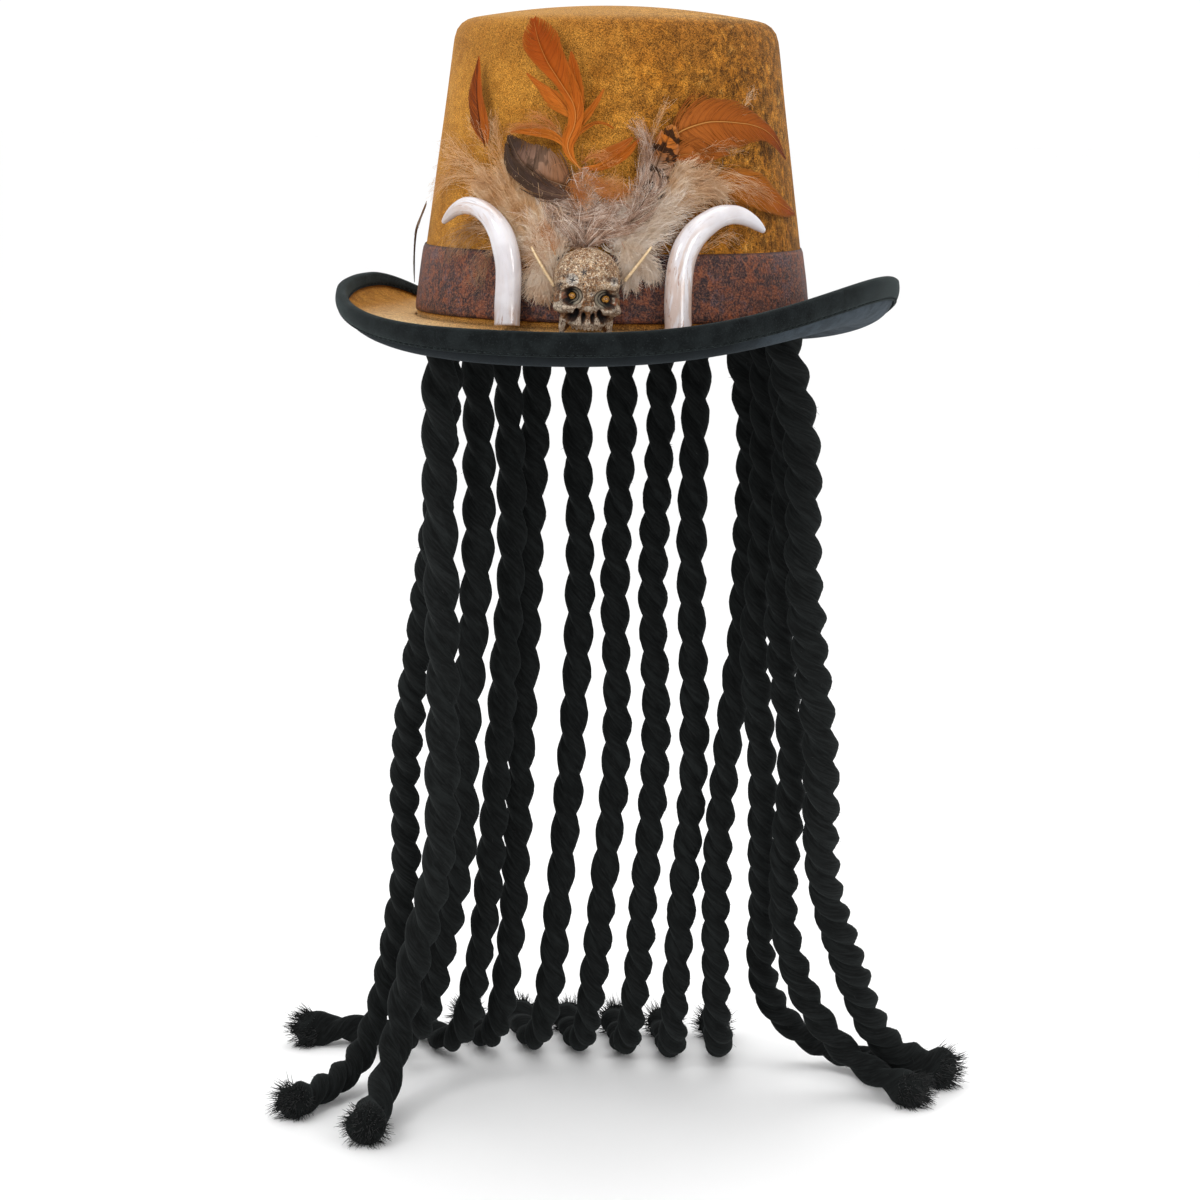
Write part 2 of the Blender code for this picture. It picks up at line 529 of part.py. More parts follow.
def skull_distance(p):
    """How far each point is outside the skull: blended balls, less its sockets. The skull's own
    axes are X to its left as seen from the front, Y backwards and Z up, from the bridge of the nose."""
    def ball(x, y, z, rx, ry, rz):
        q = (p - (x, y, z)) / (rx, ry, rz)
        return (np.linalg.norm(q, axis=-1) - 1) * min(rx, ry, rz)

    def blend(a, b, soft):
        mix = np.clip(0.5 + 0.5 * (b - a) / soft, 0, 1)
        return b + (a - b) * mix - soft * mix * (1 - mix)

    body = ball(-0.2, 3.0, 3.9, 15.5, 15.3, 14.7)
    body = blend(body, ball(0.1, -0.6, -5.4, 15.3, 10.4, 7.4), 3.0)
    body = blend(body, ball(0.6, -4.5, -13.5, 10.4, 6.6, 5.6), 2.4)
    body = blend(body, ball(0.7, -8.4, -16.0, 7.8, 4.4, 2.4), 1.4)
    for sign in (-1, 1):
        body = blend(body, ball(0.4 + sign * 11.4, -4.7, -9.4, 4.4, 5.2, 2.7), 2.2)
        body = blend(body, ball(0.7 + sign * 7.8, -7.6, 2.2, 6.2, 3.1, 1.8), 2.4)
    body = -blend(-body, ball(-7.0, -12.0, -3.6, 4.9, 7.2, 4.5), 1.0)
    body = -blend(-body, ball(8.6, -12.0, -4.2, 5.6, 7.4, 4.8), 1.0)
    for sign in (-1, 1):
        body = -blend(-body, ball(0.8 + sign * 6.9, -11.0, -12.4, 2.8, 5.4, 2.5), 1.0)
    return -blend(-body, ball(0.9, -13.5, -12.4, 3.4, 5.6, 2.6), 1.0)


def make_skull(material):
    """Rays from the middle of the skull, each stopped where it leaves the surface."""
    rings, around = 17, 26
    polar = np.linspace(0.06, math.pi - 0.06, rings)
    turn = np.arange(around) * 2 * math.pi / around
    polar, turn = np.meshgrid(polar, turn, indexing="ij")
    ray = np.stack([np.sin(polar) * np.sin(turn), -np.sin(polar) * np.cos(turn), np.cos(polar)], axis=-1)
    start = np.array([0.0, 3.0, -2.0])
    low, high = np.zeros(polar.shape), np.full(polar.shape, 30.0)
    for _ in range(30):
        middle = (low + high) / 2
        inside = skull_distance(start + ray * middle[..., None]) < 0
        low, high = np.where(inside, middle, low), np.where(inside, high, middle)
    points = start + ray * low[..., None]
    angle, height, off = SKULL_PLACE
    # The back is cut off where it would enter the band, as a cast piece glued flat.
    points[..., 1] = np.minimum(points[..., 1], 9.0)
    angle = math.radians(angle)
    out = on_crown(angle, height, off + 9.6)
    x = points[..., 0] * math.cos(SKULL_TILT) + points[..., 2] * math.sin(SKULL_TILT)
    z = points[..., 2] * math.cos(SKULL_TILT) - points[..., 0] * math.sin(SKULL_TILT)
    look = angle + SKULL_TURN
    turned = np.stack([x * math.cos(look) - points[..., 1] * math.sin(look),
                       x * math.sin(look) + points[..., 1] * math.cos(look), z], axis=-1)
    return loft_object("skull", turned + out, material)


def main():
    clear_scene()
    bpy.context.scene.unit_settings.scale_length = 1.0
    velvet = plain_material("gold_velvet", (0.42, 0.24, 0.045), 0.75)
    lining = plain_material("black_felt", (0.028, 0.033, 0.04), 0.85)
    binding = plain_material("black_velvet", (0.01, 0.014, 0.014), 0.9)
    leather = plain_material("brown_leatherette", (0.10, 0.04, 0.03), 0.5)
    ivory = plain_material("ivory_resin", (0.80, 0.76, 0.74), 0.2)
    bone = plain_material("bone_resin", (0.36, 0.24, 0.12), 0.55)
    roving = plain_material("black_roving", (0.008, 0.008, 0.009), 0.95)
    straw = plain_material("quill_straw", (0.65, 0.44, 0.22), 0.45)
    plumage = {
        "feather_orange_tall": (0.48, 0.11, 0.018), "feather_maroon": (0.20, 0.035, 0.02),
        "feather_barred_left": (0.075, 0.045, 0.03), "feather_barred_right": (0.15, 0.07, 0.035),
        "feather_orange_wide": (0.40, 0.12, 0.03), "feather_orange_low": (0.42, 0.13, 0.035),
        "feather_orange_curl": (0.52, 0.16, 0.03), "feather_brown_hanging": (0.20, 0.11, 0.06),
        "down_left": (0.62, 0.33, 0.15), "down_centre_left": (0.68, 0.45, 0.27),
        "down_centre": (0.32, 0.24, 0.18), "down_right": (0.72, 0.58, 0.43),
    }
    make_crown(velvet)
    brim_layer("brim", GAP / 2, BRIM_TOP_THICK, velvet)
    brim_layer("underbrim", -UNDERBRIM_THICK, -GAP / 2, lining)
    make_binding(binding)
    make_band(leather)
    make_skull(bone)
    make_horn("horn_left", HORN_LEFT, ivory)
    make_horn("horn_right", HORN_RIGHT, ivory)
    for name, rows in FEATHERS.items():
        make_feather(name, rows, plain_material(name, plumage[name], 0.7))
    for name, rows in DOWN.items():
        make_down(name, rows, plain_material(name, plumage[name], 0.9))
    for name, ends in QUILLS.items():
        make_quill(name, ends, straw)
    for name, (diameter, points) in LOCKS.items():
        make_lock(name, diameter, points, roving)


main()
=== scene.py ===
import math

import bpy
import numpy as np
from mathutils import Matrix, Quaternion, Vector


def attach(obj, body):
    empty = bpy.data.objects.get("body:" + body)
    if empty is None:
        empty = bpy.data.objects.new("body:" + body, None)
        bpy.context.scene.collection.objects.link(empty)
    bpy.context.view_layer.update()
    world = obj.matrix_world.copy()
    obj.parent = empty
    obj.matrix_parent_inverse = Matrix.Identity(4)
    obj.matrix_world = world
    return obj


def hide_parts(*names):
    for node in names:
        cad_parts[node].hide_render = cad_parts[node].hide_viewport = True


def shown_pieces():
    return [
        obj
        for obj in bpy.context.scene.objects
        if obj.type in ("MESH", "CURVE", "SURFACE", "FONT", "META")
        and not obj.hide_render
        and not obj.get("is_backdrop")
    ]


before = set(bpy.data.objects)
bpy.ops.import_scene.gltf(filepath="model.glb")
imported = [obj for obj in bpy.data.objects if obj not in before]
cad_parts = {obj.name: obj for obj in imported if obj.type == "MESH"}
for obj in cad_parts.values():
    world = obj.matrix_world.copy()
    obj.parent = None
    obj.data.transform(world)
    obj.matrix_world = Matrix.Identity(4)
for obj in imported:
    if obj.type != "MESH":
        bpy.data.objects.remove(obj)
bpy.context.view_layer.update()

scene = bpy.context.scene
root = "root"


# camera, floor and lights: places in metres
shot = {"place": (0.2347, -1.4815, 0.1015), "target": (-0.0039, -0.0006, -0.1438), "roll": 0.87, "lens": 89.1}
studio = {"floor": -0.437, "floorHalf": 60.0, "air": 1.05, "lampTarget": (0.0, 0.0, -0.05),
          "key": {"place": (-1.1, -1.6, 1.2), "size": 0.7, "power": 13.0},
          "fill": {"place": (1.4, -1.4, 0.5), "size": 0.6, "power": 6.0},
          "top": {"place": (0.1, 0.2, 1.5), "size": 1.2, "power": 9.0},
          "low": {"place": (0.5, -1.6, -0.25), "size": 0.7, "power": 1.0}}


def makeCamera():  # looks from its place at its target, then rolls about its own axis
    camera = bpy.data.objects.new("camera", bpy.data.cameras.new("camera"))
    camera.data.lens, camera.data.sensor_width = shot["lens"], 36.0
    camera.data.clip_start, camera.data.clip_end = 0.05, 200.0
    camera.location = shot["place"]
    aim = (Vector(shot["target"]) - Vector(shot["place"])).to_track_quat("-Z", "Y")
    camera.rotation_mode = "QUATERNION"
    camera.rotation_quaternion = aim @ Quaternion((0, 0, 1), math.radians(shot["roll"]))
    scene.collection.objects.link(camera)
    scene.camera = camera


def makeLight(name, plan):  # a square lamp that looks at the crown's foot
    lamp = bpy.data.lights.new(name, "AREA")
    lamp.shape, lamp.size, lamp.energy = "SQUARE", plan["size"], plan["power"]
    holder = bpy.data.objects.new(name, lamp)
    holder.location = plan["place"]
    holder.rotation_mode = "QUATERNION"
    aim = Vector(studio["lampTarget"]) - Vector(plan["place"])
    holder.rotation_quaternion = aim.to_track_quat("-Z", "Y")
    scene.collection.objects.link(holder)


# shader sums and finishes
def rgb(code):  # "#B07F2E" as the linear colour that a socket takes
    part = np.array([int(code[i:i + 2], 16) for i in (1, 3, 5)]) / 255.0
    linear = np.where(part <= 0.04045, part / 12.92, ((part + 0.055) / 1.055) ** 2.4)
    return (*[float(x) for x in linear], 1.0)


class Wire:  # one socket, so that shader maths reads as sums
    def __init__(self, tree, socket):
        self.tree, self.socket = tree, socket

    def sum(self, operation, first, second, clamp=False):
        settings = {"operation": operation, "use_clamp": clamp}
        return addNode(self.tree, "ShaderNodeMath", settings, {0: first, 1: second})

    def __add__(self, other):
        return self.sum("ADD", self, other)

    def __radd__(self, other):
        return self.sum("ADD", other, self)

    def __sub__(self, other):
        return self.sum("SUBTRACT", self, other)

    def __rsub__(self, other):
        return self.sum("SUBTRACT", other, self)

    def __mul__(self, other):
        return self.sum("MULTIPLY", self, other)

    def __rmul__(self, other):
        return self.sum("MULTIPLY", other, self)

    def held(self):  # kept between 0 and 1
        return self.sum("ADD", self, 0.0, True)


def addNode(tree, kind, settings=None, inputs=None, output=0):
    # settings go on the node itself; inputs are values or wires, by the socket's name or number
    node = tree.nodes.new(kind)
    for key, value in (settings or {}).items():
        if key == "stops":
            stops = node.color_ramp.elements
            while len(stops) < len(value):
                stops.new(0.5)
            for stop, (place, colour) in zip(stops, value):
                stop.position, stop.color = place, colour
        else:
            setattr(node, key, value)
    for key, value in (inputs or {}).items():
        if isinstance(value, Wire):
            tree.links.new(value.socket, node.inputs[key])
        else:
            node.inputs[key].default_value = value
    return Wire(tree, node.outputs[output])


class Finish:  # a material, with the few nodes that every finish here is made of
    def __init__(self, name, **constants):
        self.material = bpy.data.materials.new(name)
        self.material.use_nodes = True
        self.tree = self.material.node_tree
        self.shader = self.tree.nodes["Principled BSDF"]
        for key, value in constants.items():
            self.shader.inputs[key.replace("_", " ")].default_value = value

    def node(self, kind, settings=None, inputs=None, output=0):
        return addNode(self.tree, kind, settings, inputs, output)

    def place(self, stretch=(1.0, 1.0, 1.0)):  # object coordinates in millimetres
        at = self.node("ShaderNodeTexCoord", output="Object")
        size = tuple(1000.0 * s for s in stretch)
        return self.node("ShaderNodeVectorMath", {"operation": "MULTIPLY"}, {0: at, 1: size})

    def mark(self, name, output="Fac"):  # a value kept on the mesh
        return self.node("ShaderNodeAttribute", {"attribute_name": name}, output=output)

    def axis(self, at, number):  # one coordinate of a place: 0 right, 1 back, 2 up
        return self.node("ShaderNodeSeparateXYZ", None, {0: at}, number)

    def noise(self, at, scale, detail, rough=0.5, twist=0.0):  # 0 to 1, mostly near 0.5
        return self.node("ShaderNodeTexNoise", None, {"Vector": at, "Scale": scale, "Detail": detail,
                                                      "Roughness": rough, "Distortion": twist})

    def cells(self, at, scale):  # 0 at the middle of a cell, and more towards its walls
        return self.node("ShaderNodeTexVoronoi", None, {"Vector": at, "Scale": scale}, "Distance")

    def band(self, value, low, high):  # 0 below low, 1 above high, soft between
        return self.node("ShaderNodeMapRange", {"interpolation_type": "SMOOTHSTEP"},
                         {"Value": value, "From Min": low, "From Max": high})

    def ramp(self, value, stops):  # stops: (value, colour)
        stops = [(at, rgb(code)) for at, code in stops]
        return self.node("ShaderNodeValToRGB", {"stops": stops}, {"Fac": value})

    def mix(self, share, first, second, way="MIX"):  # first where share is 0, second where it is 1
        first = rgb(first) if isinstance(first, str) else first
        second = rgb(second) if isinstance(second, str) else second
        return self.node("ShaderNodeMix", {"data_type": "RGBA", "blend_type": way},
                         {0: share, 6: first, 7: second}, 2)

    def coats(self, base, *rows):  # colours laid one over another: (how strongly, colour)
        for share, code in rows:
            base = self.mix(share, base, code)
        return base

    def join(self, wire, socket):  # into the shader
        self.tree.links.new(wire.socket, self.shader.inputs[socket])

    def bump(self, height, depth, strength):  # depth in millimetres
        inputs = {"Height": height, "Distance": depth * 0.001, "Strength": strength}
        self.join(self.node("ShaderNodeBump", None, inputs), "Normal")


# mesh making
def gridQuads(rows, columns, closedRows=False, closedColumns=False):
    # four corners for each cell of a grid of points that is numbered row by row
    i = np.arange(rows if closedRows else rows - 1)[:, None]
    j = np.arange(columns if closedColumns else columns - 1)[None, :]
    below, beside = (i + 1) % rows, (j + 1) % columns
    return np.stack([i * columns + j, i * columns + beside, below * columns + beside, below * columns + j],
                    axis=-1).reshape(-1, 4)


def facingOut(points, quads, tris):  # both lists turned round where the closed shape would be inside out
    a, b, c, d = (points[quads[:, k]] for k in range(4))
    inside = np.einsum("ij,ij->", a, np.cross(b, c)) + np.einsum("ij,ij->", a, np.cross(c, d))
    if len(tris):
        p, q, r = (points[tris[:, k]] for k in range(3))
        inside += np.einsum("ij,ij->", p, np.cross(q, r))
    return (quads[:, ::-1], tris[:, ::-1]) if inside < 0 else (quads, tris)


def makePiece(name, points, quads, finish, tris=None, marks=None, atlas=None, lining=None):
    # points in millimetres; marks: values per point; atlas: a UV per face corner; lining: (finish, faces)
    points = np.asarray(points, float).reshape(-1, 3)
    tris = np.zeros((0, 3), int) if tris is None else np.asarray(tris)
    quads, tris = facingOut(points, np.asarray(quads), tris)
    corners = np.concatenate([quads.ravel(), tris.ravel()])
    sizes = np.concatenate([np.full(len(quads), 4), np.full(len(tris), 3)])
    mesh = bpy.data.meshes.new(name)
    mesh.vertices.add(len(points))
    mesh.vertices.foreach_set("co", (points * 0.001).ravel())
    mesh.loops.add(len(corners))
    mesh.loops.foreach_set("vertex_index", corners)
    mesh.polygons.add(len(sizes))
    mesh.polygons.foreach_set("loop_start", np.concatenate([[0], np.cumsum(sizes)[:-1]]))
    mesh.update(calc_edges=True)
    mesh.polygons.foreach_set("use_smooth", np.ones(len(sizes), bool))
    mesh.materials.append(finish.material)
    if lining is not None:
        mesh.materials.append(lining[0].material)
        mesh.polygons.foreach_set("material_index", np.asarray(lining[1], int))
    if atlas is not None:
        mesh.uv_layers.new(name="OFBake").uv.foreach_set("vector", np.asarray(atlas, float).ravel())
    for key, values in (marks or {}).items():
        values = np.asarray(values, float)
        if values.ndim == 1:
            mesh.attributes.new(key, "FLOAT", "POINT").data.foreach_set("value", values)
        else:
            mesh.attributes.new(key, "FLOAT_VECTOR", "POINT").data.foreach_set("vector", values.ravel())
    piece = bpy.data.objects.new(name, mesh)
    scene.collection.objects.link(piece)
    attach(piece, root)
    return piece


def poleFans(points, rows, columns):  # closes a stack of rings with a point at each end
    points = np.asarray(points, float).reshape(rows * columns, 3)
    ends = np.stack([points[:columns].mean(0), points[-columns:].mean(0)])
    ring = np.arange(columns)
    beside = (ring + 1) % columns
    last = (rows - 1) * columns
    first = np.stack([np.full(columns, rows * columns), beside, ring], axis=-1)
    second = np.stack([np.full(columns, rows * columns + 1), last + ring, last + beside], axis=-1)
    return np.concatenate([points, ends]), np.concatenate([first, second])


def smoothLine(points, spacing=None, count=None):
    # Catmull-Rom through the rows of points, read at even steps of its length
    points = np.array(points, dtype=float)
    ends = np.concatenate([[2 * points[0] - points[1]], points, [2 * points[-1] - points[-2]]])
    p0, p1, p2, p3 = ends[:-3, None], ends[1:-2, None], ends[2:-1, None], ends[3:, None]
    t = np.linspace(0, 1, 24, endpoint=False)[None, :, None]
    fine = 0.5 * (2 * p1 + (p2 - p0) * t + (2 * p0 - 5 * p1 + 4 * p2 - p3) * t**2
                  + (3 * p1 - p0 - 3 * p2 + p3) * t**3)
    fine = np.concatenate([fine.reshape(-1, points.shape[1]), points[-1:]])
    walked = np.concatenate([[0.0], np.cumsum(np.linalg.norm(np.diff(fine[:, :3], axis=0), axis=1))])
    count = count or max(2, round(walked[-1] / spacing) + 1)
    stops = np.linspace(0, walked[-1], count)
    return np.stack([np.interp(stops, walked, fine[:, k]) for k in range(points.shape[1])], axis=-1)


fullTurn = 6.28  # radians, near enough for a wave


def softNoise(at, seed, scale):
    # a smooth wavy value of -1 to 1 for each point: the mean of five sines, each along a direction of its own
    local = np.random.default_rng(seed)
    ways = local.normal(0, 1, (5, at.shape[-1])) * scale
    turns = local.uniform(0, fullTurn, 5)
    return np.sin(at @ ways.T + turns).mean(-1) * 1.6


def unit(v):  # each vector over its own length
    return v / np.maximum(np.linalg.norm(v, axis=-1, keepdims=True), 1e-9)


def hump(value, middle, width):  # a bell curve: 1 at its middle, 0.37 a width away
    return np.exp(-((value - middle) / width) ** 2)


# the crown: lengths in millimetres from here on
crown = {"footX": 98.2, "footY": 101.4, "shoulderX": 80.3, "shoulderY": 83.7, "shoulderZ": 137.0,
         "roundness": 11.0, "dome": 6.5, "poleGap": 0.6, "felt": 2.5, "around": 200, "up": 60,
         "wobble": 0.35, "calmFoot": 30.0, "calmTop": 40.0}


def wallRadii(height):  # half width and half depth of the wall, which lean in evenly from foot to shoulder
    share = np.asarray(height) / crown["shoulderZ"]
    return (crown["footX"] + (crown["shoulderX"] - crown["footX"]) * share,
            crown["footY"] + (crown["shoulderY"] - crown["footY"]) * share)


def onCrown(angle, height, off):  # the place at this angle from the front, height and stand-off
    halfX, halfY = wallRadii(height)
    x, y = (halfX + off) * np.sin(angle), -(halfY + off) * np.cos(angle)
    return np.stack([x, y, height + 0 * angle], axis=-1)


def crownFacing(angle):  # the way the wall looks: outwards, and a little up
    return unit(np.stack([np.sin(angle), -np.cos(angle), 0.13 + 0 * angle], axis=-1))


def crownProfile(inset):
    # rows of (half width, half depth, height): straight wall, quarter-round shoulder, parabolic dome
    wallZ = np.linspace(0, crown["shoulderZ"], 40)
    wallX, wallY = wallRadii(wallZ)
    turn = np.radians(np.linspace(0, 90, 14)[1:])
    pull = crown["roundness"] * (1 - np.cos(turn))
    bend = np.stack([crown["shoulderX"] - pull, crown["shoulderY"] - pull,
                     crown["shoulderZ"] + crown["roundness"] * np.sin(turn)], axis=-1)
    share = np.linspace(0.94, 0.02, 22)[:, None]
    flat = np.concatenate([bend[-1, :2] * share, bend[-1, 2] + crown["dome"] * (1 - share**2)], axis=-1)
    rows = np.concatenate([np.stack([wallX, wallY, wallZ], axis=-1), bend, flat])
    for _ in range(6):  # eases the joints between the three
        rows[1:-1] = rows[1:-1] * 0.5 + (rows[:-2] + rows[2:]) * 0.25
    rows = smoothLine(rows, count=crown["up"])
    if inset:
        lower = inset * np.minimum(1.0, rows[:, 2] / crown["shoulderZ"])
        across = np.maximum(rows[:, :2] - inset, crown["poleGap"])
        rows = np.concatenate([across, rows[:, 2:] - lower[:, None]], axis=-1)
    return rows


def velvetFinish():  # crushed gold velvet: slow drifts, mottles and worn patches under an even fine grain
    paint = Finish("goldVelvet", Roughness=0.8, Sheen_Weight=0.14, Sheen_Roughness=0.4,
                   Sheen_Tint=rgb("#E8C48A"), Specular_IOR_Level=0.12)
    golds = ((0.24, "#643C12"), (0.38, "#875619"), (0.50, "#9C6A27"), (0.62, "#AE7B31"), (0.78, "#C0954C"))
    greys = ((0.0, "#6A6560"), (0.25, "#979390"), (0.5, "#BBBBBB"), (0.75, "#DCD8CE"), (1.0, "#FFF8E8"))
    at = paint.place()
    right, high = paint.axis(at, 0), paint.axis(at, 2)
    grain = paint.noise(at, 1.9, 1.0, 0.6, 0.5)
    speck = paint.noise(paint.place((0.8, 0.8, 1.25)), 2.5, 1.0, 0.5, 0.8)
    cloud = paint.noise(at, 0.17, 4.0, 0.65, 0.4)
    wide = paint.noise(at, 0.035, 4.0, 0.6)
    lean = paint.band(right, -70.0, 82.0)  # rises towards the right: painted shade darkens that side, where the mottles are stronger too
    rubbed = paint.band(right, 12.0, 50.0) * paint.band(high, 84.0, 116.0) * 0.07
    worn = paint.band(paint.noise(at, 0.085, 6.0, 0.7, 0.7) + rubbed, 0.50, 0.60)
    light = paint.band(paint.noise(at, 0.14, 6.0, 0.75, 0.5), 0.56, 0.66)
    streak = paint.band(paint.noise(paint.place((1.0, 1.0, 0.4)), 0.42, 6.0, 0.72, 0.3), 0.52, 0.60)
    smudge = paint.band(paint.noise(at, 0.16, 6.0, 0.75), 0.51, 0.60)
    brimTop = paint.band(0.0 - high, -5.0, 2.0)
    stain = paint.band(paint.noise(at, 0.12, 5.0, 0.7), 0.52, 0.62)
    base = paint.coats(
        # painted shade: the ramp runs darker towards the right
        paint.ramp(cloud * 0.46 + wide * 0.46 + 0.08 - lean * 0.13, golds),
        (worn * paint.band(right, -40.0, 60.0) * 0.78, "#6C4416"),  # brown patches, most high on the right
        (light * paint.band(right, 30.0, 70.0) * 0.5, "#BE9450"),
        (streak * paint.band(right, 50.0, 72.0) * 0.92, "#4C2C0C"),  # dark and upright, at the far right
        (smudge * paint.band(0.0 - high, -56.0, -38.0) * (0.35 + lean * 0.35), "#5E3D14"),  # near the foot
        (paint.band(high, 120.0, 134.0) * 0.36, "#7C5020"),  # painted shade on the shoulder and over the top
        (paint.band(high, 144.5, 149.0) * 0.45, "#B08A52"),  # painted highlight: sheen along the top rim and over the top
        (brimTop * (0.30 + paint.band(0.0 - right, 40.0, 95.0) * 0.6), "#D6BA92"),  # painted light on the brim's top, palest at the left
        (brimTop * stain * 0.45, "#5E3F18"))
    # grain and specks all over, with mottles towards the right
    blots = paint.noise(at, 0.50, 4.0, 0.7, 0.4) * 0.4 + paint.noise(at, 0.20, 4.0, 0.7, 0.5) - 0.7
    spark = (grain - 0.5) * 1.9 + (speck - 0.5) * 1.7 + blots * (lean * lean * 2.2)
    shade = paint.ramp(0.5 + spark * (0.85 + lean * 0.45), greys)
    paint.join(paint.mix(1.0, base, shade, "OVERLAY"), "Base Color")
    paint.join(0.9 - paint.band(speck, 0.58, 0.72) * 0.3, "Roughness")
    paint.bump(grain + speck * 0.6, 0.4, 0.5)
    return paint


def feltFinish(name, dark, light, tint):  # matt felt: a soft cloud of short fibres, with painted shade darkening all but the right
    paint = Finish(name, Roughness=0.92, Sheen_Weight=0.25, Sheen_Roughness=0.5, Sheen_Tint=rgb(tint),
                   Specular_IOR_Level=0.1)
    at = paint.place()
    cloud = paint.noise(at, 0.09, 5.0, 0.65)
    fuzz = paint.noise(at, 1.6, 4.0, 0.75)
    base = paint.coats(
        dark,
        (paint.band(cloud, 0.35, 0.65), light),
        (paint.band(fuzz, 0.52, 0.74) * 0.5, tint),
        # painted shade: darker everywhere but towards the right
        (paint.band(paint.axis(at, 0), 112.0, 70.0) * 0.9, "#0D1011"))
    paint.join(base, "Base Color")
    paint.bump(fuzz + cloud * 0.5, 0.4, 0.6)
    return paint


def makeCrown(velvet, felt):
    # the profile carried round an oval, down the outside and up the inside, with a slow uneven wave
    outside, inside = crownProfile(0.0)[::-1], crownProfile(crown["felt"])
    rows = np.concatenate([outside, inside])
    phi = np.arange(crown["around"]) * 2 * math.pi / crown["around"]
    x, y, z = (rows[:, k][:, None] for k in range(3))
    points = np.stack([x * np.sin(phi), -y * np.cos(phi), z + 0 * phi], axis=-1)
    outward = crownFacing(phi)[None]
    easing = np.clip(z / crown["calmFoot"], 0, 1)[..., None] * np.clip(x / crown["calmTop"], 0, 1)[..., None]
    wave = softNoise(points, 4, 0.035) * 0.6 + softNoise(points, 5, 0.09) * 0.4
    points = points + outward * wave[..., None] * crown["wobble"] * easing
    both, fans = poleFans(points, len(rows), crown["around"])
    quads = gridQuads(len(rows), crown["around"], closedColumns=True)
    within = np.repeat(np.arange(len(rows) - 1) >= len(outside) - 1, crown["around"])
    side = np.concatenate([within, np.zeros(crown["around"]), np.ones(crown["around"])])
    piece = makePiece("crown_velvet", both, quads, velvet, tris=fans, lining=(felt, side))
    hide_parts("crown")
    print("crown", len(both), "points")


# the brim
brim = {"edgeX": 138.4, "edgeY": 142.4, "shiftX": 2.5, "turn": math.radians(12.0),
        "front": 1.1, "back": -11.4, "left": 17.1, "right": 24.1,
        "power": {"frontLeft": 3.6, "frontRight": 3.4, "backLeft": 7.2, "backRight": 2.8},
        "curl": {"front": 26.1, "back": 14.6, "left": 15.6, "right": 24.6}, "curlPower": 1.7,
        "dipEnds": -8.0, "dipSides": 1.0, "dipReach": 0.40, "gap": 0.4,
        "swap": 0.04, "seam": 0.15, "end": 0.985,
        "top": 1.5, "under": 1.1, "around": 240, "rows": 26, "wobble": 0.22}


def brimCurve(phi, s):
    # phi goes round from the front, and s out from the crown's foot (0) to the curled edge (1). Each section
    # is a cubic curve; its edge's height and its curl go over from end to side as a power of the sine of phi
    side = np.sin(phi + brim["turn"])
    ahead = 0.5 + 0.5 * np.tanh(np.cos(phi + brim["turn"]) / brim["swap"])
    left = 0.5 - 0.5 * np.tanh(side / brim["swap"])
    power = (ahead * (left * brim["power"]["frontLeft"] + (1 - left) * brim["power"]["frontRight"])
             + (1 - ahead) * (left * brim["power"]["backLeft"] + (1 - left) * brim["power"]["backRight"]))
    low = ahead * brim["front"] + (1 - ahead) * brim["back"]
    high = left * brim["left"] + (1 - left) * brim["right"]
    edge = low + (high - low) * np.abs(side) ** power
    mix = np.abs(side) ** brim["curlPower"]
    inner = brim["dipEnds"] + (brim["dipSides"] - brim["dipEnds"]) * mix
    endCurl = ahead * brim["curl"]["front"] + (1 - ahead) * brim["curl"]["back"]
    sideCurl = left * brim["curl"]["left"] + (1 - left) * brim["curl"]["right"]
    outer = edge - endCurl - (sideCurl - endCurl) * mix
    first, second, last = 3 * (1 - s) ** 2 * s, 3 * (1 - s) * s**2, s**3
    reach = first * brim["dipReach"] + second + last
    z = first * inner + second * outer + last * edge
    footX, footY = crown["footX"] + brim["gap"], crown["footY"] + brim["gap"]
    x = (footX + (brim["edgeX"] - footX) * reach) * np.sin(phi) + brim["shiftX"] * reach
    y = -(footY + (brim["edgeY"] - footY) * reach) * np.cos(phi)
    return np.stack([x, y, z], axis=-1)


def brimPoint(phi, s, off, out=0.0):  # off above the felt's middle surface, and out past it along the curl
    step = 1e-3
    along = unit(brimCurve(phi, s + step) - brimCurve(phi, s - step))
    across = unit(brimCurve(phi + step, s) - brimCurve(phi - step, s))
    normal = unit(np.cross(along, across))
    return brimCurve(phi, s) + normal * np.asarray(off)[..., None] + along * np.asarray(out)[..., None]


def makeLayer(name, node, low, high, finish, seed):
    # a closed loop round the section: out along the top, back along the bottom, with rounded ends
    end = brim["end"]
    s = np.linspace(0.0, end, brim["rows"])
    middle, half = (low + high) / 2, (high - low) / 2
    section = np.concatenate([
        np.stack([s, np.full(len(s), high), 0 * s], -1),
        [[end, middle + half * 0.6, half * 0.8], [end, middle - half * 0.6, half * 0.8]],
        np.stack([s[::-1], np.full(len(s), low), 0 * s], -1)])
    phi = np.arange(brim["around"]) * 2 * math.pi / brim["around"]
    phi, share = np.meshgrid(phi, section[:, 0], indexing="ij")
    flat = brimCurve(phi, share)
    wave = (softNoise(flat, seed, 0.06) + softNoise(flat, seed + 1, 0.14) * 0.5) * brim["wobble"]
    wave = np.clip(wave * np.clip(share * 6, 0, 1) * np.clip((0.84 - share) * 8, 0, 1), -0.12, 0.5)
    off = section[:, 1][None] + np.where(section[:, 1] == high, wave, 0 * wave)
    points = brimPoint(phi, share, off, section[:, 2][None] + 0 * phi)
    quads = gridQuads(brim["around"], len(section), True, True)
    piece = makePiece(name, points, quads, finish)
    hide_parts(node)
    print(name, points.size // 3, "points")


